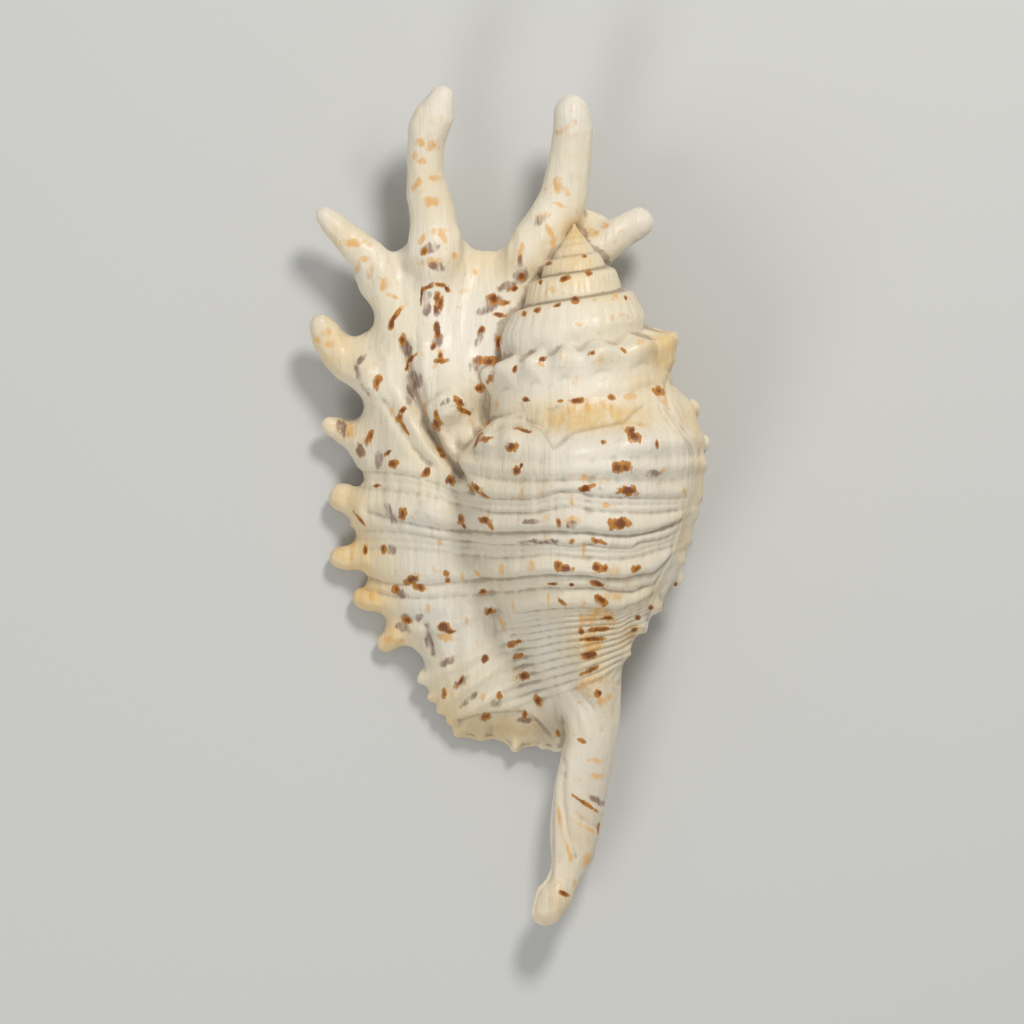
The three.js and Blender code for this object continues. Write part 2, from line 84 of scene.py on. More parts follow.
# %% A smooth curve through pairs
def curve(pairs):
    """A function of x that runs smoothly through the pairs and stays level beyond them."""
    xs, ys = np.array(pairs, float).T
    rate = np.diff(ys) / np.diff(xs)
    slope = np.zeros(len(xs))
    slope[0], slope[-1] = rate[0], rate[-1]
    both = rate[:-1] * rate[1:]
    mean = 2 * both / np.where(both > 0, rate[:-1] + rate[1:], 1)
    slope[1:-1] = np.where(both > 0, mean, 0)

    def value(x):
        at = np.clip(x, xs[0], xs[-1])
        i = np.clip(np.searchsorted(xs, at) - 1, 0, len(xs) - 2)
        w = xs[i + 1] - xs[i]
        t = (at - xs[i]) / w
        return (
            ys[i] * (2 * t**3 - 3 * t**2 + 1)
            + slope[i] * w * (t**3 - 2 * t**2 + t)
            + ys[i + 1] * (3 * t**2 - 2 * t**3)
            + slope[i + 1] * w * (t**3 - t**2)
        )

    return value


def ease(low, high, x):
    """0 below low, 1 above high, smooth in between."""
    t = np.clip((x - low) / (high - low), 0, 1)
    return t * t * (3 - 2 * t)


print("halfway up a step:", ease(0, 1, 0.5))

# %% [markdown]
# The solid has about ten thousand triangles, enough for the outline but far too coarse to
# carve. Subdividing would keep every crease between the joined parts. A voxel remesh makes
# one even skin of small squares instead, which is what a sculptor starts from.

# %% An even skin for sculpting
VOXEL = 0.36


def added(name, data):
    """A new object in the scene."""
    obj = bpy.data.objects.new(name, data)
    bpy.context.scene.collection.objects.link(obj)
    return obj


def applied(obj, kind, **settings):
    """Puts one modifier on an object and bakes it into the mesh."""
    modifier = obj.modifiers.new(kind.lower(), kind)
    for name, value in settings.items():
        setattr(modifier, name, value)
    depsgraph = bpy.context.evaluated_depsgraph_get()
    made = bpy.data.meshes.new_from_object(obj.evaluated_get(depsgraph))
    obj.modifiers.clear()
    old, obj.data = obj.data, made
    bpy.data.meshes.remove(old)


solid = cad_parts["shell"]
shell = added("conch_shell", solid.data.copy())
joined = bmesh.new()
joined.from_mesh(shell.data)
bmesh.ops.remove_doubles(joined, verts=joined.verts, dist=1e-6)
joined.to_mesh(shell.data)
joined.free()
shell.data.materials.clear()
applied(shell, "REMESH", mode="VOXEL", voxel_size=VOXEL * MM)
print("the skin has", len(shell.data.vertices), "points")

# %% [markdown]
# From here the points are kept in arrays, because moving two hundred thousand of them one
# by one would take minutes. Relaxing moves each point towards the mean of its neighbours, as
# far as a weight says.

# %% Points and relaxing
PULL = 0.6  # how far one round moves a point towards the mean of its neighbours


def read_points():
    """The shell's points in millimetres, and both ends of each edge, written both ways."""
    p = np.empty(len(shell.data.vertices) * 3)
    shell.data.vertices.foreach_get("co", p)
    pairs = np.empty(len(shell.data.edges) * 2, int)
    shell.data.edges.foreach_get("vertices", pairs)
    pairs = pairs.reshape(-1, 2)
    return p.reshape(-1, 3) / MM, np.concatenate([pairs, pairs[:, ::-1]])


def mean_of_neighbours(values):
    if values.ndim == 1:
        return np.bincount(ends[:, 0], values[ends[:, 1]], count) / degree
    return np.stack([mean_of_neighbours(column) for column in values.T], 1)


def relax(values, rounds, weight=1.0):
    """Evens out the points, or a value on each of them."""
    share = np.reshape(PULL * np.asarray(weight), (-1, 1) if values.ndim == 2 else -1)
    for _ in range(rounds):
        values = values + (mean_of_neighbours(values) - values) * share
    return values


points, ends = read_points()
count = len(points)
degree = np.bincount(ends[:, 0], minlength=count)
print("before relaxing it measures", (points.max(0) - points.min(0)).round(2), "mm")

# %% [markdown]
# Carving pushes a point along its normal. The cross product of a square's diagonals points
# straight out of the square, and its length gives large squares more say.

# %% Normals
quads = np.empty(len(shell.data.loops), int)
shell.data.loops.foreach_get("vertex_index", quads)
quads = quads.reshape(-1, 4)


def normals_of(p):
    """The direction out of the surface at every point."""
    across = np.cross(p[quads[:, 2]] - p[quads[:, 0]], p[quads[:, 3]] - p[quads[:, 1]])
    n = np.stack(
        [
            sum(np.bincount(quads[:, corner], across[:, axis], count) for corner in range(4))
            for axis in range(3)
        ],
        1,
    )
    return n / np.maximum(np.linalg.norm(n, axis=1, keepdims=True), 1e-12)


print("points that face up:", int((normals_of(points)[:, 2] > 0).sum()))

# %% [markdown]
# The coil turns round an axis that leans a little and rises and falls. Each point gets its
# distance from the apex along that axis, its angle round it and its radius. The same rule that
# shaped the solid then tells where the surface of each whorl should be. A spun profile would
# be quicker, but a spin needs a straight axis and makes closed rings, and a whorl never closes.

# %% The axis of the coil
APEX = np.array([10.98, 47.94, 17.0])
LEAN = 0.0505
AXIS_HEIGHT = curve([(0, 17), (30, 17.5), (45, 17.3), (57, 15.6), (70, 13), (80, 11), (92, 10)])
FIRST_ANGLE = -75  # the angles run on from here, under the right side, to 285 degrees
down = np.array([LEAN, -math.sqrt(1 - LEAN**2)])
sideways = np.array([-down[1], down[0]])


def round_the_axis(p):
    """Distance from the apex, angle in degrees and radius of every point."""
    flat = p[:, :2] - APEX[:2]
    distance = flat @ down
    side = flat @ sideways
    up = p[:, 2] - AXIS_HEIGHT(distance)
    angle = np.degrees(np.arctan2(up, side))
    return distance, np.where(angle < FIRST_ANGLE, angle + 360, angle), np.hypot(side, up)


def off_the_axis(distance, angle, radius):
    """The points that lie there."""
    a = np.radians(angle)
    side = radius * np.cos(a)
    flat = APEX[:2] + distance[:, None] * down + side[:, None] * sideways
    return np.column_stack([flat, AXIS_HEIGHT(distance) + radius * np.sin(a)])


distance, angle, radius = round_the_axis(points)
print("the coil is", distance.max().round(1), "mm long, down to the end of the canal")

# %% [markdown]
# A whorl runs from one suture to the next, and each is half as long again as the one
# before. Its profile starts in the groove of the suture, turns over a narrow shelf and then
# runs down a nearly straight side. Only the last whorl of the spire has a hollow waist. In a
# profile, 0 and 1 are the sutures above and below, and a rise of 1 reaches the lower one.

# %% Profiles of the whorls
FIRST_SUTURE = 3.57
GROWTH = 1.53
SPIRE_WHORLS = 5
SUTURE_RADIUS = curve([(0, 0), (10, 6.4), (18.3, 11.5), (25, 14.6), (29, 15.2), (34, 16)])
EARLY_PROFILE = curve([
    (0, 0), (0.03, 0.3), (0.1, 0.58), (0.2, 0.72), (0.4, 0.82), (0.7, 0.95), (0.93, 1.03), (1, 1),
])
BULGED_PROFILE = curve([
    (0, 0), (0.03, 0.28), (0.09, 0.5), (0.2, 0.66), (0.4, 0.85), (0.6, 1), (0.78, 1.05),
    (0.9, 1.02), (1, 1),
])
LAST_PROFILE = curve([
    (0, 0), (0.05, 0), (0.1, 0.07), (0.15, 0.3), (0.2, 0.76), (0.24, 0.98), (0.34, 1.06),
    (0.5, 0.94), (0.64, 0.88), (0.8, 0.93), (0.93, 1.02), (1, 1),
])
print("the last suture starts", round(FIRST_SUTURE * GROWTH**SPIRE_WHORLS, 1), "mm down")

# %% [markdown]
# Small ribs cross the early whorls. The nodules of the last one are cosine waves round the
# axis, a little unevenly spaced, and higher and longer on the right side, where they stand out
# from the outline. The suture above them follows them, so it is scalloped. They could be
# sculpted one by one. A wave needs a few numbers only and keeps their spacing natural.

# %% The spire's surface
RIBS_PER_TURN = 34
RIB = 0.07
NODULES_PER_TURN = 14
NODULE_PHASE = 48
NODULE_DRIFT, DRIFTS_PER_TURN = 4, 3.3
SCALLOP = 0.08
NODULE_REACH = curve([(0.12, 0), (0.2, 0.75), (0.27, 1), (0.42, 0.8), (0.62, 0)])
SIDE_REACH = curve([
    (0.05, 0), (0.12, 0.85), (0.2, 1), (0.45, 0.95), (0.65, 0.8), (0.8, 0.3), (0.9, 0),
])
NODULE_HEIGHT = curve([
    (FIRST_ANGLE, 1.6), (0, 1.6), (16, 1.5), (40, 1.2), (100, 1.2), (180, 1.2), (285, 1),
])
LIP_COVERS = (225, 285)  # between these angles the lip hides the suture


def worn_tip(distance):
    """A quarter at the very tip, which is worn to a cone, 1 where the whorls stand out."""
    return 0.25 + 0.75 * ease(3, 8, distance)


def turned(angle):
    """The angle that the suture follows: it steps back where the lip hides it."""
    start, end = LIP_COVERS
    back = start - (start - FIRST_ANGLE) * ease(start, end, angle)
    return np.where(angle <= start, angle, back)


def spire_radius(distance, angle):
    """Radius of the spire there, the number of the whorl and the step down through it."""
    turn = (turned(angle) - 90) / 360
    d = np.maximum(distance, 0.05)
    number = np.floor(np.log(d / FIRST_SUTURE) / math.log(GROWTH) - turn)
    start = FIRST_SUTURE * GROWTH ** (number + turn)
    step = (d - start) / (start * (GROWTH - 1))
    inner, outer = SUTURE_RADIUS(start), SUTURE_RADIUS(start * GROWTH)
    drifted = angle + NODULE_DRIFT * np.sin(np.radians(DRIFTS_PER_TURN * angle))
    wave = 0.5 + 0.5 * np.cos(np.radians(NODULES_PER_TURN * (drifted - NODULE_PHASE)))
    scalloped = step + SCALLOP * (wave - 0.5)
    last, bulged = number == SPIRE_WHORLS - 1, number == SPIRE_WHORLS - 2
    rise = np.where(last, LAST_PROFILE(scalloped), EARLY_PROFILE(step))
    rise = np.where(bulged, BULGED_PROFILE(step), rise)
    rise = step + (rise - step) * worn_tip(d)
    ribs = RIB * np.cos(np.radians(RIBS_PER_TURN * angle)) * np.sin(np.pi * step)
    right_side = 1 - ease(15, 40, angle)
    reach = NODULE_REACH(scalloped) * (1 - right_side) + SIDE_REACH(step) * right_side
    nodules = NODULE_HEIGHT(angle) * reach * wave
    return inner + (outer - inner) * rise + np.where(last, nodules, ribs), number, step


wanted, whorl_number, step = spire_radius(distance, angle)
print("whorls on the spire:", int(whorl_number[whorl_number < SPIRE_WHORLS].max()) + 1)

# %% [markdown]
# The skin still shows the flat faces of the solid and the steps of the voxels. Plain relaxing
# would take them out but would also thin the fingers. So the small scale is relaxed back and
# forth, which keeps the volume. The large scale is relaxed only where the surface is broad:
# where it moves a point a long way, as on a finger or the edge, the point stays.

# %% Relax the skin
FINE_ROUNDS = 14
BROAD_ROUNDS = 110
PUSH_BACK = -1.06  # a little stronger than the pull, so that the volume stays
THIN_SWELL = 0.2


def around(x, y, reach):
    """1 at this point of the picture, and less and less around it."""
    return np.exp(-((X - x) ** 2 + (Y - y) ** 2) / reach**2)


base = points
for _ in range(FINE_ROUNDS):
    base = relax(relax(base, 1), 1, PUSH_BACK)
broad = relax(base, BROAD_ROUNDS)
broad_normals = normals_of(broad)
lost = ((base - broad) * broad_normals).sum(1)
broad = broad + broad_normals * relax(lost, BROAD_ROUNDS)[:, None]
crest = relax(ease(0.3, 0.75, lost), 8)
crease = relax(ease(1.2, 2.2, -lost), 4)
# The thick glaze beside the aperture may become smooth as well, though its rim is sharp.
X, Y = in_picture(base)
glazed = ease(535, 560, X) * (1 - ease(665, 695, X)) * ease(292, 322, Y)
glazed *= (1 - ease(642, 682, Y)) * ease(-0.2, 0.2, -normals_of(base)[:, 2])
crest *= 1 - relax(glazed, 4)
# The knobs down the right side and one on the lower left edge are low.
RIGHT_SIDE = curve([
    (382, 680), (442, 690), (502, 690), (542, 683), (582, 671), (632, 640), (682, 618),
])
LEFT_KNOB = (420, 675, 9)
crest *= 1 - 0.6 * ease(0, 6, X - RIGHT_SIDE(Y)) * ease(382, 397, Y)
crest *= 1 - 0.7 * around(*LEFT_KNOB)
stay = np.clip(crest + crease, 0, 1)
points = broad + (base - broad) * stay[:, None]
points += normals_of(points) * (THIN_SWELL * crest)[:, None]
print("the skin moved by up to", np.abs(points - base).max().round(2), "mm")

# %% [markdown]
# Now the spire gets its true surface. A point belongs to it when it lies close to the rule's
# radius and faces away from the axis. Such points move onto the rule exactly. The weight is
# relaxed a little, so the spire meets the lip and the fingers without a step.

# %% Set the spire
NEAR_RULE, NEAR_SIDE_NODULE = 2.2, 3.2
SPIRE_ENDS = (0.3, 40)  # distances from the apex

distance, angle, radius = round_the_axis(points)
wanted, whorl_number, step = spire_radius(distance, angle)
outward = (normals_of(points) * (off_the_axis(distance, angle, radius + 1) - points)).sum(1)
side_nodule = (whorl_number == SPIRE_WHORLS - 1) & (angle < 30)
near = np.abs(radius - wanted) < np.where(side_nodule, NEAR_SIDE_NODULE, NEAR_RULE)
on_spire = (whorl_number < SPIRE_WHORLS) & near & (outward > 0.1)
on_spire &= (distance > SPIRE_ENDS[0]) & (distance < SPIRE_ENDS[1])
spire_weight = relax(on_spire.astype(float), 2)
moved = off_the_axis(distance, angle, radius + (wanted - radius) * spire_weight)
points = np.where((spire_weight > 0)[:, None], moved, points)
print("points on the spire:", int(on_spire.sum()))

# %% [markdown]
# Some fingers bend a little further than the solid's, and a few notches of the edge are
# deeper. A nudge carries the points round one place to the side, most of all in its middle. It
# is what proportional editing does by hand, and written down it can be repeated.

# %% Bend the finger tips
NUDGES = [  # x, y, reach, and how far to the right and down
    (441, 100, 26, 2.5, -0.5), (326, 216, 20, -0.5, 2), (347, 265, 12, -2, 1.5),
    (327, 420, 14, 2.5, 1.5), (351, 477, 9, 3, 0), (333, 502, 14, -2, 1.5), (383, 645, 14, -1, 2.5),
    (534, 226, 14, 2.5, 2), (456, 238, 9, 2.5, 0), (536, 236, 10, 2, 1), (480, 741, 7, 0, 2),
    (420, 664, 10, 2, 1), (463, 735, 10, -1.5, 2.5), (668, 360, 10, 2, 1), (642, 306, 10, -2, 0),
]
X, Y = in_picture(points)
for x, y, reach, right, below in NUDGES:
    share = around(x, y, reach)
    X, Y = X + right * share, Y + below * share
points[:, :2] = place(np.column_stack([X, Y]))
print(len(NUDGES), "nudges made")

# %% [markdown]
# The relief comes next. A cord lies between two grooves. Its top is nearest to the lower groove
# and falls steeply into it, as the overlapping cords of this shell do. Below the last strong
# cord a fan of fine ones spreads out over the front of the shell. A bump texture could draw
# them, but they have to show in the outline and cast shadows, so they are carved into the mesh.

# %% Cords between grooves
GROOVES = [  # the height of the cord above in millimetres, and the line from left to right
    (0, [(350, 452), (400, 458), (430, 463), (460, 472), (490, 478), (530, 481), (560, 480), (600, 479),
        (640, 480), (670, 480), (700, 474)]),
    (0.55, [(350, 470), (400, 474), (430, 481), (455, 491), (480, 496.5), (500, 498.6), (534, 498.6),
        (547, 495.7), (560, 491.4), (577, 491.4), (586, 495), (600, 497), (643, 498), (664, 498.6),
        (686, 497), (705, 490)]),
    (0.18, [(350, 478), (400, 481), (430, 487), (457, 497), (480, 503), (520, 505), (560, 499),
        (577, 500), (600, 503), (640, 504), (680, 503), (705, 496)]),
    (0.26, [(350, 486), (400, 490), (430, 495), (457, 503), (484, 510), (500, 512), (529, 512),
        (547, 509), (569, 505), (586, 508), (600, 509.7), (623, 510.7), (650, 511.4), (680, 508),
        (705, 500)]),
    (0.85, [(345, 508), (373, 512), (400, 520), (430, 527), (460, 531), (500, 532), (543, 530.7),
        (586, 532), (623, 534.3), (643, 532), (664, 525.7), (683, 517), (700, 508)]),
    (0.45, [(345, 530), (373, 530), (400, 531), (430, 536), (460, 541), (500, 544), (529, 544),
        (547, 542), (560, 545), (577, 545.7), (586, 544), (600, 545), (609, 547), (629, 547),
        (637, 541), (657, 538.6), (679, 530), (697, 520)]),
    (0.16, [(345, 538), (400, 541), (440, 545), (480, 548.5), (525, 549.5), (557, 549.5), (600, 551),
        (629, 551.5), (645, 547), (664, 543), (695, 525)]),
    (0.2, [(345, 545), (373, 547), (400, 548), (440, 551), (480, 556), (500, 557), (529, 555),
        (549, 553), (580, 556.4), (620, 557), (637, 554.3), (657, 548.6), (671, 546), (695, 530)]),
    (0.85, [(345, 570), (373, 578), (400, 584), (430, 584), (460, 581), (500, 578), (529, 575),
        (550, 573.6), (577, 574.3), (620, 577), (637, 573), (651, 571.4), (661, 563), (671, 555),
        (690, 541)]),
    (0.42, [(345, 584), (373, 590), (400, 596), (430, 597), (460, 595), (500, 591.4), (521, 589),
        (543, 586.4), (580, 587), (600, 586.4), (609, 588.6), (629, 590), (643, 585), (651, 583),
        (661, 574), (686, 555)]),
    (0.75, [(360, 612), (385, 617), (410, 622), (447, 626), (480, 619), (500, 615.7), (514, 613),
        (536, 610), (560, 607), (600, 607), (614, 608.6), (629, 603), (643, 597), (657, 590),
        (680, 572)]),
]
FAN_END = curve([
    (400, 742), (450, 730), (487, 718), (520, 706), (557, 693), (590, 681), (615, 667), (640, 650),
    (655, 640),
])
FAN_CORDS = 12
FAN_SPREAD = 1.35
FAN_HEIGHT = 0.34
CORD_RELIEF = 1.2


def cords(x, y):
    """How high the cords stand there."""
    lines = [curve(line)(x) for _, line in GROOVES]
    heights = [height for height, _ in GROOVES]
    top, bottom = lines[-1], FAN_END(x)
    for i in range(1, FAN_CORDS + 1):
        lines.append(top + (bottom - top) * (i / FAN_CORDS) ** FAN_SPREAD)
        heights.append(FAN_HEIGHT)
    rise = np.zeros_like(x)
    for upper, lower, height in zip(lines, lines[1:], heights[1:]):
        across = (y - upper) / np.maximum(lower - upper, 0.5)
        on = (across > 0) & (across < 1)
        shape = np.sin(np.pi * np.clip(across, 0, 1) ** 1.5) ** 0.8
        rise[on] += CORD_RELIEF * height * shape[on]
    return rise


print("grooves:", len(GROOVES), "drawn one by one and", FAN_CORDS, "in the fan")

# %% [markdown]
# The cords are full height on the body, lower on the lip, and end at the rim of the glaze that
# laps round the right side. Nothing is carved on what faces down.

# %% Raise the cords
CALLUS_EDGE = [
    (655, 350), (662, 409), (679, 434), (692, 452), (690, 490), (681, 527), (673, 555),
    (656, 588), (640, 640), (618, 680),
]
LIP_SHARE = 0.65

facing_up = ease(-0.25, 0.25, normals_of(points)[:, 2])
on_body = ease(440, 500, X) * (1 - ease(690, 712, X))
on_lip = ease(345, 372, X) * (1 - ease(440, 500, X)) * (1 - ease(596, 622, Y))
fan_only = 1 - (1 - ease(490, 530, X)) * ease(596, 612, Y)
edge_across = curve([(y, x) for x, y in CALLUS_EDGE])(Y)
on_body *= 1 - 0.85 * ease(-14, 0, X - edge_across)
lifted = cords(X, Y) * (on_body * fan_only + LIP_SHARE * on_lip) * facing_up
print("the tallest cord stands", lifted.max().round(2), "mm high")

# %% [markdown]
# Above them the cords are broader and rise into nodules, and they bend up into the fingers.
# Each is a line with a height and a half width, like the stroke of a sculpting brush. A valley
# is a line with a negative height.

# %% Broad cords and valleys
def near_line(line, x, y):
    """Distance from every point to a line of short stretches, in points of the picture."""
    best = np.full(len(x), np.inf)
    for (ax, ay), (bx, by) in zip(line, line[1:]):
        dx, dy = bx - ax, by - ay
        t = np.clip(((x - ax) * dx + (y - ay) * dy) / (dx * dx + dy * dy), 0, 1)
        best = np.minimum(best, np.hypot(x - ax - t * dx, y - ay - t * dy))
    return best


BROAD_CORDS = [
    # the shoulder of the last whorl and the cord below it
    (0.5, 9, [(690, 440), (660, 445), (630, 446), (590, 450), (560, 452), (530, 448), (505, 442)]),
    (0.6, 7, [(695, 464), (655, 468), (622, 468), (580, 470), (540, 471), (516, 470), (488, 468),
        (470, 462)]),
    # the hooked rim of the top knob and the rim of the long one beside it
    (0.7, 4, [(431, 424), (433, 409), (444, 399), (457, 399), (468, 409)]),
    (0.4, 4, [(477, 446), (484, 431), (498, 424), (518, 424), (538, 431)]),
    # the ridges that bend up beside the valley, and the valley
    (0.75, 6, [(424, 345), (426, 372), (432, 395), (441, 430), (452, 450), (470, 464)]),
    (0.5, 5, [(389, 360), (392, 385), (405, 412), (427, 447), (446, 468), (462, 486)]),
    (-1.5, 5.5, [(405, 345), (407, 363), (412, 392), (424, 419), (438, 445), (456, 472), (468, 490)]),
    (-0.45, 4, [(384, 402), (398, 425), (413, 448), (428, 464)]),
    # low ribs from the valley to the lower edge of the lip
    (0.35, 6, [(492, 606), (470, 616), (444, 627), (415, 630)]),
    (0.35, 5.5, [(505, 636), (485, 650), (455, 666), (428, 680)]),
    (0.35, 5, [(512, 655), (490, 672), (464, 690), (440, 706)]),
    (0.3, 5, [(520, 675), (500, 692), (482, 704), (460, 716)]),
    # the dark fold beside the last finger
    (-0.8, 3.5, [(426, 626), (428, 640), (431, 654)]),
    # the hollow between the lip and the body
    (-0.6, 13, [(474, 500), (474, 540), (484, 575), (496, 605), (510, 640), (524, 672), (545, 712),
        (556, 740)]),
    # the thick seam down the right side
    (0.45, 6, [(690, 404), (700, 440), (700, 497), (690, 540), (678, 575), (658, 603), (638, 632)]),
    # folds on the canal
    (-0.4, 3, [(560, 772), (562, 800), (568, 830), (576, 856)]),
    (0.25, 4, [(574, 792), (588, 801), (601, 810)]),
    (-0.25, 3, [(574, 812), (590, 822), (602, 828)]),
    (0.3, 4, [(566, 690), (580, 712), (588, 735)]),
    (-0.3, 3, [(575, 686), (592, 706), (602, 730)]),
    (0.25, 4, [(590, 686), (604, 704), (612, 724)]),
    (-0.3, 3, [(553, 742), (562, 760), (563, 775)]),
]
for height, width, line in BROAD_CORDS:
    lifted += height * np.exp(-((near_line(line, X, Y) / width) ** 2)) * facing_up
print("the deepest valley lies", -lifted.min().round(2), "mm low")

# %% [markdown]
# The knobs, frills and scallops are round or nearly so. Each is one bump with its place, its
# height in millimetres and its half width in points of the picture. Small spheres could be
# joined on instead, but they would leave a seam, and a bump in the skin grows out of it.

# %% Knobs, frills and scallops
BUMPS = [
    # the knobs at the top of the lip, on the shoulder and on the cord below
    (446, 412, 1.5, 11), (456, 403, 0.8, 8), (512, 441, 1.2, 12), (489, 441, 0.9, 8),
    (534, 446, 0.3, 10), (632, 438, 1.2, 14), (652, 446, 0.3, 9), (622, 468, 0.4, 12),
    (478, 488, 0.5, 8), (433, 508, 0.7, 10), (404, 513, 0.3, 8), (455, 478, 0.3, 6),
    (626, 488, 0.35, 12), (617, 522, 0.35, 14), (560, 566, 0.2, 12), (600, 567, 0.25, 12),
    # frills on the flange under the lip
    (462, 730, 0.5, 6), (480, 738, 0.3, 6), (497, 738, 0.3, 5), (515, 748, 0.5, 6), (535, 744, 0.3, 6),
    (550, 744, 0.3, 6),
    # the knobs along the right side
    (697, 406, 0.5, 7), (704, 440, 0.8, 8), (702, 466, 0.5, 7), (702, 497, 0.7, 7), (696, 515, 0.5, 6),
    (691, 540, 0.8, 6), (683, 579, 0.9, 9), (656, 606, 1.5, 7), (641, 626, 1.3, 7), (626, 652, 0.6, 7),
    (681, 561, 0.8, 6),
    # scallops on the lower left edge
    (422, 679, 1.0, 6), (430, 697, 1.0, 5), (441, 711, 1.1, 5), (449, 722, 0.8, 5),
    # the end of the canal
    (548, 902, 0.4, 14),
]
for x, y, height, width in BUMPS:
    lifted += height * around(x, y, width) * facing_up
print("the tallest knob stands", lifted.max().round(2), "mm high")

# %% [markdown]
# A late layer of glaze laps over the spire and stops in a zigzag, so the last band of the spire
# stays bare. Its edge is a small step that fades downwards. Another step is the crest of the
# lip's lower margin, with a thinner flange below it. The glaze on the right side ends in two or
# three fine ripples. A step eased over a few points is crisp and still round, as glaze is.

# %% Steps and ripples
GLAZE_EDGE = [
    (500, 398), (522, 404), (527, 424), (541, 431), (553, 450), (561, 445), (574, 434), (596, 429),
    (622, 424), (632, 414), (640, 408), (660, 402),
]
GLAZE_STEP, GLAZE_FADES = 0.38, 14
CREST = curve([
    (446, 716), (457, 718), (473, 715), (503, 711), (519, 710), (534, 717), (546, 730), (556, 744),
])
FLANGE_DROP = 0.8
RIPPLE, RIPPLE_LENGTH, RIPPLE_REACH = 0.14, 8, 9

past = Y - curve(GLAZE_EDGE)(X)
step_up = GLAZE_STEP * ease(-1.5, 1.5, past) * np.exp(-np.clip(past, 0, None) / GLAZE_FADES)
lifted += step_up * (ease(505, 522, X) * (1 - ease(640, 660, X)) * facing_up)
past = Y - CREST(X)
on_flange = ease(-2, 3, past) * ease(448, 458, X) * (1 - ease(548, 556, X))
lifted -= FLANGE_DROP * on_flange * facing_up
beside = near_line(CALLUS_EDGE, X, Y)
ripple = np.cos(beside * 2 * math.pi / RIPPLE_LENGTH) * np.exp(-((beside / RIPPLE_REACH) ** 2))
lifted += RIPPLE * ripple * facing_up
print("the flange covers", int((on_flange * facing_up > 0.5).sum()), "points")

# %% [markdown]
# The whole surface is a little uneven too: the growth stages show as long soft folds, and the
# fingers and the canal are lumpy. Smooth noise with its own length along each axis gives both.
# A Displace modifier could add it, but here one weight keeps all of the relief off the spire,
# which already has its own. Everything is pushed out along the normals at once, and nothing
# sinks into the floor.

# %% Unevenness, and the push
FOLDS, BEADS, LUMPS = 0.28, 0.1, 0.35


def unevenness(p, right, along, up, start=0):
    """Noise between -1 and 1 with its length in millimetres along each axis."""
    return np.array([noise.noise((x / right, y / along, z / up + start)) for x, y, z in p])


beads = unevenness(points, 0.9, 3.5, 3)
folds = unevenness(points, 2.4, 15, 9)
lumps = unevenness(points, 4.5, 4.5, 4.5, start=50)
lifted += (FOLDS * folds + BEADS * beads) * facing_up + LUMPS * lumps * crest
points = points + normals_of(points) * (lifted * (1 - spire_weight))[:, None]
points = relax(points, 1)
points[:, 2] = np.maximum(points[:, 2], 0)
print("with its relief it measures", (points.max(0) - points.min(0)).round(2), "mm")

# %% [markdown]
# The skin has far more points than the renderer needs on the walls of the aperture and inside
# the hollow. A grid of small cells keeps the highest and the lowest point of each. A point near
# the top of its cell is seen from above and keeps its detail. The Decimate modifier thins out
# the underside a little and the hollow a lot.

# %% Thin out what stays below
TRIANGLES = 194000
CELL = 0.7
LEVELS = 10
shell.data.vertices.foreach_set("co", (points * MM).ravel())
shell.data.update()


def depths(p):
    """How far every point lies below the highest and above the lowest point of its cell."""
    cell = np.floor((p[:, :2] - p[:, :2].min(0)) / CELL).astype(int)
    number = cell[:, 0] * (cell[:, 1].max() + 1) + cell[:, 1]
    highest = np.full(number.max() + 1, -np.inf)
    lowest = np.full(number.max() + 1, np.inf)
    np.maximum.at(highest, number, p[:, 2])
    np.minimum.at(lowest, number, p[:, 2])
    return highest[number] - p[:, 2], p[:, 2] - lowest[number]


below_top, above_bottom = depths(points)
upward = normals_of(points)[:, 2]
on_top = (1 - ease(1.2, 2, below_top)) * ease(-0.2, 0.1, upward)
on_bottom = (1 - ease(1.2, 2, above_bottom)) * ease(-0.1, 0.2, -upward)
kept = np.maximum.reduce([on_top, 0.6 * relax(on_top, 10), 0.3 * on_bottom])
detailed = shell.vertex_groups.new(name="detailed")
for level in range(1, LEVELS + 1):
    some = np.flatnonzero(np.round(kept * LEVELS) == level)
    detailed.add(some.tolist(), level / LEVELS, "REPLACE")
applied(
    shell, "DECIMATE", ratio=TRIANGLES / (2 * len(quads)), vertex_group="detailed",
    invert_vertex_group=True, vertex_group_factor=60, use_collapse_triangulate=True,
)
shell.vertex_groups.clear()
shell.data.polygons.foreach_set("use_smooth", np.ones(len(shell.data.polygons), bool))
print("seen from above:", int((on_top > 0.5).sum()), "points of", count)
print("the shell has", len(shell.data.polygons), "triangles")

# %% [markdown]
# The colour is painted on the points of the finished mesh, each pigment and the painted shade as
# one value that the material reads. First the mesh is read again, because it has new points. The
# marks and the painted shade lie on the back only: what faces down has the plain glaze.

# %% Read the finished mesh
points, ends = read_points()
count = len(points)
degree = np.bincount(ends[:, 0], minlength=count)
normals = np.empty(count * 3)
shell.data.vertices.foreach_get("normal", normals)
normals = normals.reshape(-1, 3)
X, Y = in_picture(points)
back = ease(-0.05, 0.25, normals[:, 2])


def paint(name, values):
    """Keeps one value for every point under a name."""
    pigment = shell.data.attributes.new(name, "FLOAT", "POINT")
    pigment.data.foreach_set("value", np.asarray(values, np.float32))


print("points to paint:", int((back > 0.5).sum()))

# %% [markdown]
# The marks are small patches of pigment that sit on the cords, where the shell laid them down.
# An image could hold them, but the shell would have to be unwrapped and seams would show.
# Each has its place, half length, half width and, unless it lies level, its turn in degrees.
# For every point the script notes how deep inside a mark it lies: 1 in the heart, one half at
# the rim, 0 outside. The material cuts that smooth field off at one half, after a little noise,
# which gives a crisp but irregular rim however large the faces are.

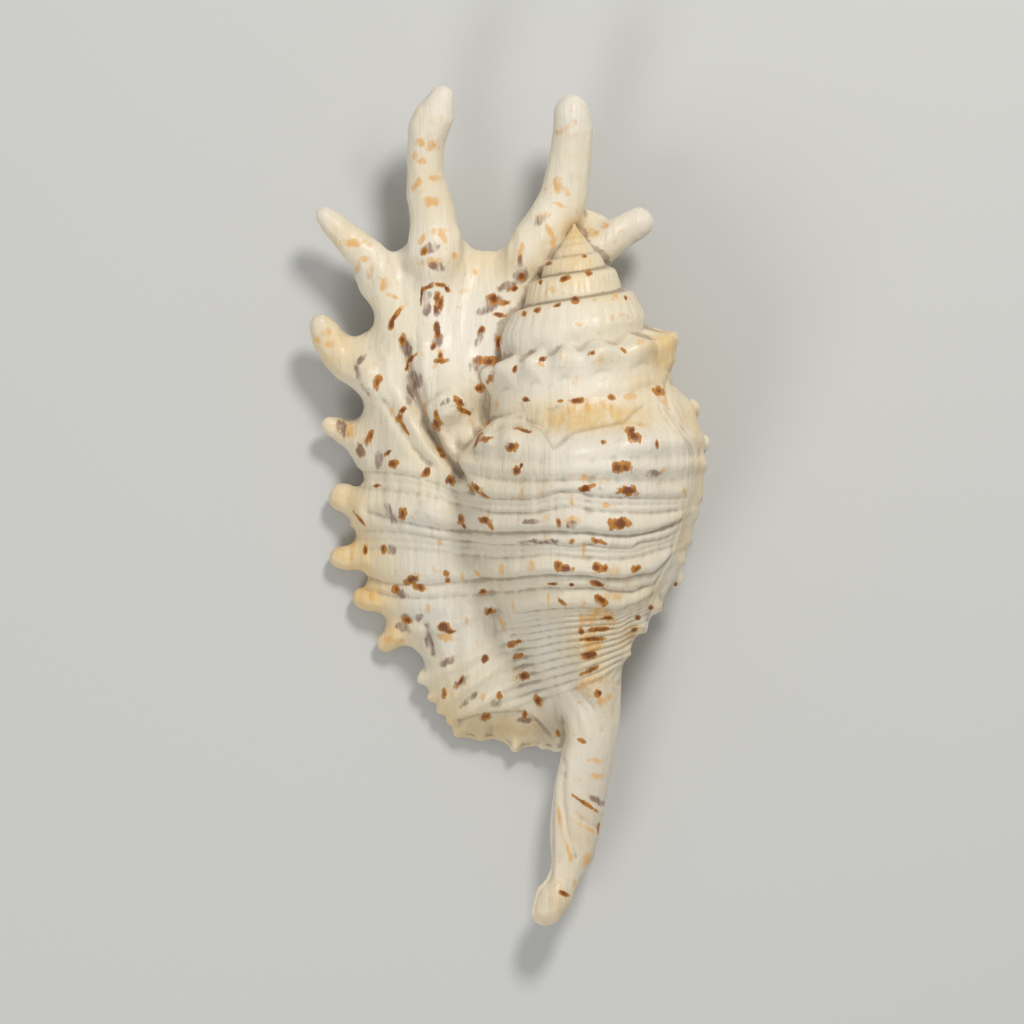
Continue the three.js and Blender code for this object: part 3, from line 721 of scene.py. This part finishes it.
# %% The marks
MARKS = {}
MARKS["brown"] = [
    # the long left finger and the ridge below it
    (437, 298, 7, 3, 80), (441, 305, 8, 3, 78), (429, 288, 7, 2.5, 25), (440, 286, 8, 2.5, -8),
    (447, 290, 5, 2.5, -40), (422, 298, 10, 1.5, 85), (436, 310, 5, 3, 85), (438, 330, 9, 4, 88),
    (434, 347, 5, 2.5, 55), (441, 362, 8, 3, 5), (441, 357, 4, 2.5, 90), (425, 253, 5, 3, 65),
    (396, 317, 8, 2.5, 55), (392, 325, 6, 3, 80), (403, 340, 6, 3.5, 80), (412, 359, 8, 2.5, 45),
    (408, 367, 5, 1.5, 80), (378, 383, 8, 4, 75), (482, 331, 5, 3, 60),
    # beside the spire
    (521, 277, 5, 4, 80), (514, 290, 5, 3, 10), (493, 300, 6, 5, 60), (505, 304, 6, 3, 5),
    (500, 316, 7, 2.5, -10), (499, 342, 9, 3.2, 85), (478, 361, 6, 5, 60), (489, 362, 9, 4.5),
    (491, 379, 7, 3, 60), (480, 389, 6, 4, 15),
    # the spire
    (548, 265, 4, 2.6, 10), (584, 258, 2.4, 2), (564, 280, 6, 3, 20), (588, 275, 4, 3.4),
    (540, 284, 2.4, 4), (575, 302, 4.6, 3.6, 10), (557, 307, 4, 2.2, 20), (537, 312, 4, 3, 25),
    (524, 315, 2.4, 3), (543, 361, 5, 3, 25), (515, 370, 4.5, 2.4, 70), (591, 355, 4, 2.6, 35),
    (622, 352, 4, 2, -40), (657, 392, 6, 5, -45), (577, 402, 8, 3.2), (611, 399, 4, 3, -20),
    (526, 401, 4, 3), (625, 299, 1.8, 2.6), (560, 402, 3, 1.6),
    # the shoulder of the last whorl
    (629, 431, 5, 4), (632, 438, 8, 5.5, -20), (512, 447, 6, 5.5), (486, 440, 7, 3, 8),
    (478, 440, 9, 2, 68), (655, 445, 5, 2.4, -82), (602, 443, 3, 3), (522, 431, 10, 2, -15),
    (437, 415, 3, 5), (437, 425, 6, 6), (459, 402, 7, 3.4, -35), (465, 412, 8, 2.6, -28),
    (403, 411, 5, 3, 35), (400, 418, 6, 3.4, 60), (405, 428, 11, 1.6, -58), (440, 451, 5, 2.6, -50),
    (443, 456, 4, 2.6, -30), (621, 468, 11, 6),
    # the cords of the last whorl
    (626, 491, 11, 5.4), (583, 489, 7, 3.6), (591, 486, 5, 2, 10), (516, 471, 4, 4.4),
    (521, 466, 3, 2, 60), (613, 524, 7, 6), (621, 523, 8, 6), (558, 522, 2.6, 5),
    (571, 541, 2.6, 3, -30), (597, 541, 8, 2.6, -18), (557, 565, 4, 6, 10), (565, 568, 8, 4),
    (596, 567, 5, 5), (604, 568, 5, 4, 10), (634, 568, 5, 3.6, 25), (597, 583, 9, 3, -16),
    (552, 583, 5, 1.8), (571, 584, 3, 1.8), (601, 599, 8, 4, -38), (561, 601, 7, 2.6, -42),
    (484, 520, 7, 3.4, -8), (491, 526, 5, 2.4, -55), (461, 519, 3.4, 5.6), (464, 526, 4, 2, -60),
    (475, 488, 7, 5, -22), (484, 495, 7, 1.8, -28), (451, 481, 4.4, 5.6), (427, 472, 6.4, 4, 62),
    (394, 464, 5, 5), (389, 453, 5, 2, 38), (370, 437, 7, 3, 65), (376, 486, 5, 2),
    (403, 514, 4, 7, -10), (384, 549, 3, 6), (366, 550, 2.4, 5.6), (360, 519, 9, 1.6, -52),
    # the lower part of the lip
    (412, 580, 8, 4.4, 20), (420, 587, 9, 3.8, -12), (447, 573, 3, 4), (448, 580, 3.4, 3.4),
    (396, 589, 4, 4, -40), (408, 620, 5, 3.6, -12), (444, 627, 7, 5, -8), (451, 631, 6, 2.6, -6),
    (485, 658, 5, 3.6, 55), (490, 610, 5, 5), (483, 591, 4, 2.8), (512, 644, 5, 3.6),
    (518, 641, 4, 2, 15), (518, 655, 5, 2.6, 18), (524, 675, 7, 5, 15), (538, 700, 4, 6, 15),
    (444, 693, 2.6, 5), (486, 716, 5, 4), (525, 714, 2.2, 5), (499, 695, 3, 4), (461, 680, 7, 2.4, 55),
    (558, 732, 2.4, 5, 10), (582, 740, 5, 2, -25),
    # the front of the last whorl and the canal
    (597, 628, 13, 2.6, 3), (594, 638, 14, 2.4, 4), (588, 654, 10, 4, 5), (590, 669, 11, 2.4, 24),
    (598, 692, 4, 4), (606, 617, 8, 1.6), (581, 630, 3, 4), (633, 629, 4, 2.4, 20), (637, 617, 3, 3),
    (650, 607, 3, 2.6), (675, 584, 2.4, 4), (583, 801, 17, 1.8, -33), (599, 827, 2.4, 5),
    (564, 892, 6, 2.4, -25),
]
MARKS["orange"] = [
    (352, 244, 10, 4), (366, 244, 6, 3, -15), (359, 268, 7, 3, 68), (367, 260, 7, 3, 5),
    (371, 271, 8, 3, 75), (385, 286, 6, 4, 60), (392, 297, 6, 2, -20), (403, 308, 7, 1.8, 38),
    (440, 233, 8, 4, 5), (445, 239, 3, 6), (422, 241, 6, 2.6, 60), (432, 263, 9, 5, -10),
    (421, 145, 6, 4), (433, 148, 6, 6), (417, 157, 4, 4), (421, 163, 5, 3), (416, 188, 6, 3, 55),
    (420, 183, 3, 4), (436, 180, 6, 3), (431, 204, 9, 5, 10), (571, 127, 5, 3, 40),
    (561, 133, 7, 3, 30), (558, 187, 5, 7), (566, 192, 6, 3, -60), (560, 207, 7, 1.8, -20),
    (549, 233, 8, 2.6, -62), (553, 243, 3, 6), (521, 254, 8, 3, 82), (542, 218, 7, 4, 20),
    (441, 352, 3, 3), (436, 366, 4, 2, 45), (426, 410, 1.8, 7, 5), (394, 408, 9, 1.6, 72),
    (325, 334, 9, 4, 25), (331, 345, 7, 3), (318, 340, 4, 3), (350, 432, 6, 7), (361, 451, 4, 7),
    (372, 595, 3, 6), (389, 640, 9, 3, -15), (398, 640, 6, 3, 10), (352, 545, 5, 3, 10),
    (353, 555, 3, 6), (447, 637, 9, 4, -5), (497, 405, 2, 5), (487, 424, 5, 3, 25), (566, 358, 1.8, 6),
    (560, 358, 1.8, 4), (541, 366, 4, 3), (629, 398, 6, 3), (662, 401, 10, 3, -55), (640, 426, 5, 2),
    (640, 345, 4, 6, -60), (614, 299, 4, 3), (578, 326, 4, 2), (611, 320, 2, 3), (586, 407, 3, 7),
    (567, 411, 2.4, 6), (574, 411, 1.6, 7), (603, 407, 2.4, 6), (610, 411, 1.8, 7), (597, 405, 3, 4),
    (594, 301, 2.4, 2), (553, 292, 5, 3), (522, 493, 2.6, 6), (583, 478, 3, 4), (661, 471, 7, 1.8, 38),
    (683, 492, 1.6, 4), (571, 521, 7, 5), (612, 569, 6, 5), (612, 596, 11, 5, -8), (502, 570, 2.6, 6),
    (531, 567, 3, 6), (478, 574, 6, 1.8, -55), (463, 576, 2, 4), (440, 542, 2.4, 4),
    (400, 524, 2.4, 6, 10), (467, 620, 2, 4), (428, 608, 2, 5), (484, 696, 2.2, 4),
    (503, 624, 2.2, 8, 20), (589, 682, 12, 7, 28), (604, 699, 9, 4, 35), (592, 759, 5, 2),
    (601, 760, 5, 2.4, 20), (596, 775, 7, 3), (586, 859, 5, 8, -25), (573, 881, 3, 4),
    (585, 826, 14, 1.8, -28), (560, 820, 2, 14, 10), (568, 850, 2, 12, 20), (605, 227, 4, 3),
    (593, 234, 5, 4), (464, 292, 5, 3, 10), (475, 273, 2.6, 3), (455, 257, 3, 3), (581, 622, 2.4, 9),
    (600, 617, 14, 10), (590, 645, 12, 12), (633, 630, 9, 6, 20), (583, 602, 2, 6), (548, 600, 1.6, 8),
    (514, 604, 2, 6), (583, 550, 2, 8), (571, 500, 2, 8), (606, 505, 8, 2),
]
MARKS["violet"] = [
    (431, 250, 10, 5, 20), (438, 268, 8, 4, -20), (427, 297, 5, 6), (428, 311, 5, 6), (437, 313, 4, 5),
    (438, 342, 5, 8, -15), (407, 350, 9, 5, -60), (415, 381, 7, 8), (411, 392, 4, 13),
    (361, 361, 7, 3, 50), (360, 373, 9, 3, -62), (364, 384, 11, 4, -65), (480, 337, 9, 3.4, 70),
    (521, 264, 7, 3, 88), (521, 276, 7, 8), (506, 288, 9, 4.4, 20), (493, 303, 9, 7, 30),
    (487, 310, 10, 4, 20), (476, 365, 9, 5, 62), (540, 222, 7, 4, 30), (343, 429, 5, 8, 20),
    (361, 450, 4, 7, 10), (369, 439, 8, 3, 65), (379, 460, 4, 8), (390, 512, 3.4, 9, 20),
    (395, 521, 4, 4), (392, 549, 4, 5), (447, 402, 6, 1.8, 35), (479, 438, 9, 2.6, 65),
    (402, 594, 7, 4, -40), (403, 627, 8, 4, -30), (419, 617, 6, 3, 20), (410, 618, 8, 4, -10),
    (450, 660, 10, 4, 25), (461, 681, 9, 4, 40), (469, 699, 10, 2.6, 42), (496, 702, 5, 5),
    (651, 475, 7, 4), (532, 522, 9, 2.6), (525, 542, 6, 2), (537, 541, 6, 2.4), (552, 541, 7, 2.4),
    # (429, 642) is not pigment: it darkens the fold beside the last finger as painted shade.
    (571, 525, 5, 4), (600, 600, 7, 4, -35), (429, 642, 4, 8, 20), (598, 800, 9, 3, -30),
    (589, 489, 14, 3), (486, 717, 6, 4), (525, 720, 8, 3),
]
DEEPEST = 1.25


def mark_field(marks, x, y):
    """1 deep inside a mark, one half at its rim and 0 well outside."""
    depth = np.zeros(len(x))
    for mx, my, length, width, *turn in marks:
        slant = math.radians(turn[0] if turn else 0)
        reach = 3 * max(length, width)
        near = (np.abs(x - mx) < reach) & (np.abs(y - my) < reach)
        c, s = math.cos(slant), math.sin(slant)
        dx, dy = x[near] - mx, my - y[near]
        apart = np.hypot((dx * c + dy * s) / length, (dy * c - dx * s) / width)
        depth[near] = np.maximum(depth[near], np.clip(1.5 - apart, 0, DEEPEST))
    return depth


for name, marks in MARKS.items():
    paint(name, mark_field(marks, X, Y) * back)
    print(len(marks), name, "marks")

# %% [markdown]
# Larger parts of the shell change colour softly. The thin edge, the spire and the bare band are
# cream or tan, and the thick glaze and the tips of the fingers a cool white. Shade is painted into
# the hollows, under the knobs and onto the flange. A soft brush would paint that by hand. Here each
# such cloud has a place, a half length, a half width and a strength.

# %% Clouds of colour
WARM = [  # tan or cream: x, y, half length, half width, strength
    (574, 236, 14, 18, 1.2), (578, 258, 26, 8, 0.45), (572, 270, 34, 8, 0.6), (580, 285, 44, 8, 0.6),
    (600, 300, 46, 6, 0.4), (535, 300, 14, 12, 0.5), (664, 352, 16, 20, 1.6), (650, 385, 26, 12, 0.6),
    (600, 418, 50, 14, 1.3), (560, 425, 30, 9, 0.5), (545, 412, 20, 9, 0.3), (688, 420, 16, 20, 0.6),
    (698, 470, 6, 50, 0.7), (684, 540, 8, 40, 0.6), (655, 600, 20, 14, 0.5), (625, 640, 12, 20, 0.6),
    (340, 240, 40, 22, 0.4), (330, 350, 34, 40, 0.6), (345, 430, 26, 20, 0.7), (345, 500, 26, 26, 0.7),
    (345, 556, 30, 22, 0.9), (368, 600, 24, 20, 0.9), (390, 640, 24, 20, 1), (365, 575, 30, 60, 0.4),
    (440, 710, 30, 30, 0.6), (500, 730, 60, 18, 0.9), (430, 150, 30, 70, 0.15), (560, 905, 30, 30, 0.5),
    (575, 830, 30, 60, 0.3), (600, 680, 20, 30, 0.5), (620, 230, 40, 26, 0.15), (585, 640, 20, 30, 0.5),
    (480, 265, 60, 14, 0.35),
]
PALE = [  # a cool white, where the glaze is thick
    (600, 440, 90, 26, 0.9), (625, 490, 60, 40, 0.7), (560, 350, 60, 26, 0.6), (540, 385, 60, 14, 0.5),
    (444, 100, 24, 26, 1), (573, 108, 24, 30, 1), (640, 222, 24, 16, 0.9), (326, 218, 16, 16, 0.9),
    (320, 325, 12, 12, 0.8), (465, 330, 40, 50, 0.6), (400, 520, 40, 30, 0.4), (440, 560, 40, 30, 0.5),
    (450, 620, 40, 30, 0.5), (590, 770, 24, 60, 0.3),
]
SHADE_CLOUDS = [  # painted shade: the hollows, under the knobs, the flange, faintly body and canal
    (535, 500, 60, 60, 0.1), (462, 520, 18, 50, 0.22), (410, 395, 9, 30, 0.25),
    (436, 440, 10, 24, 0.22), (500, 590, 20, 40, 0.12), (525, 660, 14, 40, 0.14),
    (430, 640, 10, 22, 0.3), (500, 728, 50, 12, 0.3), (545, 735, 18, 14, 0.35), (555, 715, 14, 20, 0.2),
    (585, 825, 26, 60, 0.24), (600, 760, 20, 40, 0.18), (560, 900, 20, 16, 0.08),
    (560, 500, 90, 50, 0.06), (505, 350, 10, 40, 0.12), (478, 455, 20, 14, 0.12),
    (640, 480, 40, 8, 0.08), (560, 620, 60, 14, 0.1), (352, 480, 14, 14, 0.15),
]


def clouds(places):
    """All the clouds of one list together, between 0 and 1."""
    total = np.zeros(count)
    for x, y, length, width, strength in places:
        total += strength * np.exp(-(((X - x) / length) ** 2) - ((Y - y) / width) ** 2)
    return np.clip(total, 0, 1)


paint("warm", clouds(WARM))
paint("pale", clouds(PALE))
print("clouds:", len(WARM), "warm,", len(PALE), "pale and", len(SHADE_CLOUDS), "painted_shade")

# %% [markdown]
# Shade is painted into the sutures, into the fine steps at the rims of the glaze and into the
# hollows, and the bottom of a groove gets a little painted shade too. How deep a point lies in a
# groove follows from the shape: it is how far relaxing would lift it. Pointiness in a shader finds
# grooves too, but it changes with the density of the mesh.

# %% Painted shade in grooves, hollows, sutures and rims
SUTURE_SHADE, GLAZE_RIM_SHADE, CALLUS_RIM_SHADE = 0.55, 0.4, 0.3

groove = ((relax(points, 6) - points) * normals).sum(1)
paint("groove", relax(groove, 1) * back)
distance, angle, radius = round_the_axis(points)
wanted, whorl_number, step = spire_radius(distance, angle)
nearer = np.where(whorl_number == SPIRE_WHORLS - 2, step, 1 - step)
from_suture = np.minimum(step, nearer) * distance
suture = (1 - ease(0.1, 0.7, from_suture)) * (np.abs(radius - wanted) < 0.3)
suture *= (whorl_number < SPIRE_WHORLS - 1) & (distance < SPIRE_ENDS[1])
suture *= worn_tip(distance)
rims = GLAZE_RIM_SHADE * np.exp(-((near_line(GLAZE_EDGE[1:-1], X, Y) / 1.3) ** 2))
rims += CALLUS_RIM_SHADE * np.exp(-((near_line(CALLUS_EDGE[1:], X, Y) / 1.2) ** 2))
# The hollows, the sutures and the rims of the glaze are darkened: painted shade.
paint("painted_shade", (clouds(SHADE_CLOUDS) + SUTURE_SHADE * suture + rims) * back)
print("the deepest groove is", (groove * back).max().round(2), "mm")

# %% [markdown]
# The throat is what faces down beside the aperture, and whatever lies hidden inside. It can't
# be seen from above, but the shell may be turned over. There it is brown, with paler cords.

# %% The throat
MOUTH = [(522, 505, 60, 150, 1.3)]

below_top, above_bottom = depths(points)
inside_hollow = ease(2.5, 5, np.minimum(below_top, above_bottom))
facing_down = ease(-0.1, 0.3, -normals[:, 2]) * ease(1.5, 6, points[:, 2])
paint("throat", relax(np.clip(clouds(MOUTH) * facing_down + inside_hollow, 0, 1), 3))
names = [a.name for a in shell.data.attributes if a.domain == "POINT" and a.name != "position"]
print("painted", sorted(names))

# %% [markdown]
# The shell is porcelain-like: an ivory body under a thin clear glaze. Its colour is built in
# layers, as the animal laid them down. Shader nodes can be wired by hand in the editor, and in
# a script a few helpers do the same: each makes one node and hands on its output.

# %% Helpers for the porcelain
porcelain = bpy.data.materials.new("shell_porcelain")
porcelain.use_nodes = True
tree = porcelain.node_tree
surface = tree.nodes["Principled BSDF"]


def node(kind, values=(), **settings):
    """A node with its settings and its inputs, which are numbers, colours or other outputs."""
    made = tree.nodes.new("ShaderNode" + kind)
    for name, value in settings.items():
        setattr(made, name, value)
    for where, value in dict(values).items():
        if isinstance(value, bpy.types.NodeSocket):
            tree.links.new(value, made.inputs[where])
        else:
            made.inputs[where].default_value = value
    return made


def attribute(name):
    return node("Attribute", attribute_name=name).outputs["Fac"]


def maths(kind, a, b):
    return node("Math", {0: a, 1: b}, operation=kind).outputs[0]


def times(a, b):
    return maths("MULTIPLY", a, b)


def plus(a, b):
    return maths("ADD", a, b)


def between(value, low, high):
    """0 where the value is under low, 1 over high, and smooth in between."""
    limits = {"Value": value, "From Min": low, "From Max": high}
    return node("MapRange", limits, interpolation_type="SMOOTHSTEP").outputs["Result"]


def layer(share, under, over):
    """The colour over laid on the colour under, as thickly as share says."""
    return node("Mix", {0: share, 6: under, 7: over}, data_type="RGBA").outputs[2]


coordinates = node("TexCoord").outputs["Object"]


def speckle(scale, stretch=(1, 1, 1), detail=3.0, roughness=0.55, distortion=0.0):
    """Noise on the shell's own coordinates. A stretch under 1 makes it longer that way."""
    moved = node("Mapping", {"Vector": coordinates, "Scale": stretch}).outputs[0]
    grain = {"Scale": scale, "Detail": detail, "Roughness": roughness, "Distortion": distortion}
    return node("TexNoise", {"Vector": moved, **grain}).outputs["Fac"]


print("nodes so far:", len(tree.nodes))

# %% [markdown]
# Ivory turns to a milky white in large soft patches. The clouds lay a cool white and a cream
# over it, and tiny orange specks are everywhere. Last comes painted shade in the grooves, the
# hollows, the sutures and the rims of the glaze.

# %% The ivory body
IVORY = (0.8, 0.71, 0.53, 1)
MILK = (0.83, 0.77, 0.64, 1)
COOL_WHITE = (0.8, 0.75, 0.66, 1)
CREAM = (0.77, 0.56, 0.27, 1)
ORANGE = (0.76, 0.42, 0.12, 1)
# the colour of the painted shade
SHADE_TINT = (0.3, 0.23, 0.15, 1)

ragged = speckle(1100, stretch=(1, 0.55, 0.8), detail=4)
streaked = speckle(700, stretch=(1, 0.25, 1), detail=2)
patchy = speckle(60, detail=4)

colour = layer(between(patchy, 0.35, 0.7), IVORY, MILK)
colour = layer(times(attribute("pale"), 0.8), colour, COOL_WHITE)
cream_share = times(attribute("warm"), between(streaked, 0.0, 0.62))
colour = layer(cream_share, colour, CREAM)
specks = between(speckle(420, detail=4, roughness=0.7), 0.58, 0.7)
colour = layer(times(specks, 0.45), colour, ORANGE)
# Painted shade: the bottoms of the grooves, the hollows, the sutures and the rims of the glaze are
# darkened.
groove_shade = times(between(attribute("groove"), 0.012, 0.12), 0.6)
shade = plus(groove_shade, attribute("painted_shade"))
colour = layer(maths("MINIMUM", shade, 0.8), colour, SHADE_TINT)
print("nodes with the body's colour:", len(tree.nodes))

# %% [markdown]
# The orange and violet marks are thin and streaked along the growth lines, so the ivory shows
# through. The throat comes over them. The brown marks are thick: amber at the rim and in
# streaks, and dark brown in the heart.

# %% The pigments
VIOLET = (0.19, 0.09, 0.07, 1)
THROAT = (0.3, 0.12, 0.1, 1)
THROAT_CORD = (0.72, 0.5, 0.36, 1)
AMBER = (0.5, 0.2, 0.02, 1)
BROWN = (0.18, 0.042, 0.002, 1)
THROAT_WAVE = 3600  # radians for each metre along the shell: a cord every 1.7 mm


def inside(name, spread, soft):
    """Where a mark's field, roughened by noise near the mark only, is over one half."""
    field = attribute(name)
    rough = times(maths("SUBTRACT", ragged, 0.5), spread)
    rough = times(rough, between(field, 0.02, 0.35))
    return between(plus(field, rough), 0.5 - soft, 0.5 + soft)


faded = times(between(streaked, 0.2, 0.65), 0.85)
orange_share = times(inside("orange", 2.8, 0.45), faded)
colour = layer(orange_share, colour, ORANGE)
smoky = times(inside("violet", 2.6, 0.4), between(streaked, 0.25, 0.6))
colour = layer(times(smoky, 0.8), colour, VIOLET)
along_shell = node("SeparateXYZ", {"Vector": coordinates}).outputs["Y"]
turns = times(along_shell, THROAT_WAVE)
wavering = plus(turns, times(patchy, 9))
cords_inside = between(maths("SINE", wavering, 0), -0.2, 0.8)
throat = layer(cords_inside, THROAT, THROAT_CORD)
colour = layer(times(attribute("throat"), 0.9), colour, throat)
streaks = times(maths("SUBTRACT", streaked, 0.5), 2.2)
burnt = plus(attribute("brown"), streaks)
pigment = layer(between(burnt, 0.6, 1.3), AMBER, BROWN)
colour = layer(times(inside("brown", 2.2, 0.2), 0.96), colour, pigment)
tree.links.new(colour, surface.inputs["Base Color"])
print("nodes with the pigments:", len(tree.nodes))

# %% [markdown]
# Growth lines run across the cords as fine bumps, long in one direction and short in the other,
# and the surface has small pores. They are too fine for the mesh, so a Bump node carries them.
# The glaze is worn: half dull, a little duller in patches, with only a thin coat left.

# %% Growth lines and gloss
GLAZE = {
    "Specular IOR Level": 0.3, "Coat Weight": 0.1, "Coat Roughness": 0.2,
    "Subsurface Weight": 0.08, "Subsurface Radius": (0.002, 0.0014, 0.0009),
    "Subsurface Scale": 1,
}
growth = speckle(1100, stretch=(1, 0.1, 0.5), detail=3, distortion=0.6)
spiral = speckle(1500, stretch=(0.06, 1, 0.5), detail=2)
pores = speckle(900, detail=5, roughness=0.65)
relief = plus(growth, times(spiral, 0.2))
relief = plus(relief, times(pores, 0.45))
bump = node("Bump", {"Height": relief, "Strength": 0.8, "Distance": 0.3 * MM})
tree.links.new(bump.outputs["Normal"], surface.inputs["Normal"])
duller = times(between(patchy, 0.3, 0.7), 0.12)
tree.links.new(plus(duller, 0.34), surface.inputs["Roughness"])
for name, value in GLAZE.items():
    surface.inputs[name].default_value = value
print("the porcelain has", len(tree.nodes), "nodes")

# %% [markdown]
# The finished shell takes the porcelain and stands in for the plain solid. It rides on the
# root body, because nothing on it moves.

# %% Hand the shell over
shell.data.materials.append(porcelain)
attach(shell, "root")
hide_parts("shell")
print(shell.name, "has the material", porcelain.name)

# %% [markdown]
# The floor is one large square of pale matt paper. It is wide enough that its edge never comes
# into view, and plain, so that only the shell's soft shadow shows on it. A curved backdrop
# would hide a horizon, but this camera looks straight down and never sees one.

# %% Floor
FLOOR_SIZE = 3
PAPER = (0.6, 0.6, 0.58, 1)
floor_mesh = bmesh.new()
bmesh.ops.create_grid(floor_mesh, x_segments=1, y_segments=1, size=FLOOR_SIZE)
floor_data = bpy.data.meshes.new("floor")
floor_mesh.to_mesh(floor_data)
floor_mesh.free()
floor = added("floor", floor_data)
paper = bpy.data.materials.new("floor_paper")
paper.use_nodes = True
paper.node_tree.nodes["Principled BSDF"].inputs["Base Color"].default_value = PAPER
paper.node_tree.nodes["Principled BSDF"].inputs["Roughness"].default_value = 0.9
floor_data.materials.append(paper)
print("the floor is", 2 * FLOOR_SIZE, "m wide")

# %% [markdown]
# A photographer would light a shell with one soft lamp from behind and above, which draws the
# cords, and a weaker one from the front that opens the shadows. The world adds an even white
# light. A small bright lamp gives crisper relief than a large one.

# %% Lights
AROUND = 0.41  # the strength of the even light
world = bpy.data.worlds.new("studio")
bpy.context.scene.world = world
world.use_nodes = True
world.node_tree.nodes["Background"].inputs["Color"].default_value = (1, 1, 1, 1)
world.node_tree.nodes["Background"].inputs["Strength"].default_value = AROUND


def softbox(name, where, power, size, colour):
    """A round lamp that faces the shell."""
    light = bpy.data.lights.new(name, "AREA")
    light.shape = "DISK"
    light.size = size
    light.energy = power
    light.color = colour
    lamp = added(name, light)
    lamp.location = where
    lamp.rotation_mode = "QUATERNION"
    lamp.rotation_quaternion = (-Vector(where)).to_track_quat("-Z", "Y")
    print(name, "gives", power, "W")


softbox("key_light", where=(0.16, 0.38, 0.5), power=2.3, size=0.14, colour=(1, 0.98, 0.95))
softbox("fill_light", where=(-0.3, -0.42, 0.48), power=1.3, size=0.3, colour=(0.95, 0.97, 1))

# %% [markdown]
# The camera looks straight down on the back of the shell. A long lens from far up keeps the
# view nearly free of perspective, so the outline can be compared with the picture's frame. How
# far up it stands follows from the width that the picture has to show.

# %% Camera
LENS = 600
SENSOR = 36
SEES_TO = 10
camera_data = bpy.data.cameras.new("camera")
camera_data.lens = LENS
camera_data.sensor_width = SENSOR
camera_data.clip_end = SEES_TO
camera = added("camera", camera_data)
away = PICTURE * SCALE / SENSOR * LENS * MM
camera.location = (picture_middle[0] * MM, picture_middle[1] * MM, away)
bpy.context.scene.camera = camera
bpy.context.scene.view_settings.view_transform = "Standard"
print("the camera is", round(away, 2), "m up")
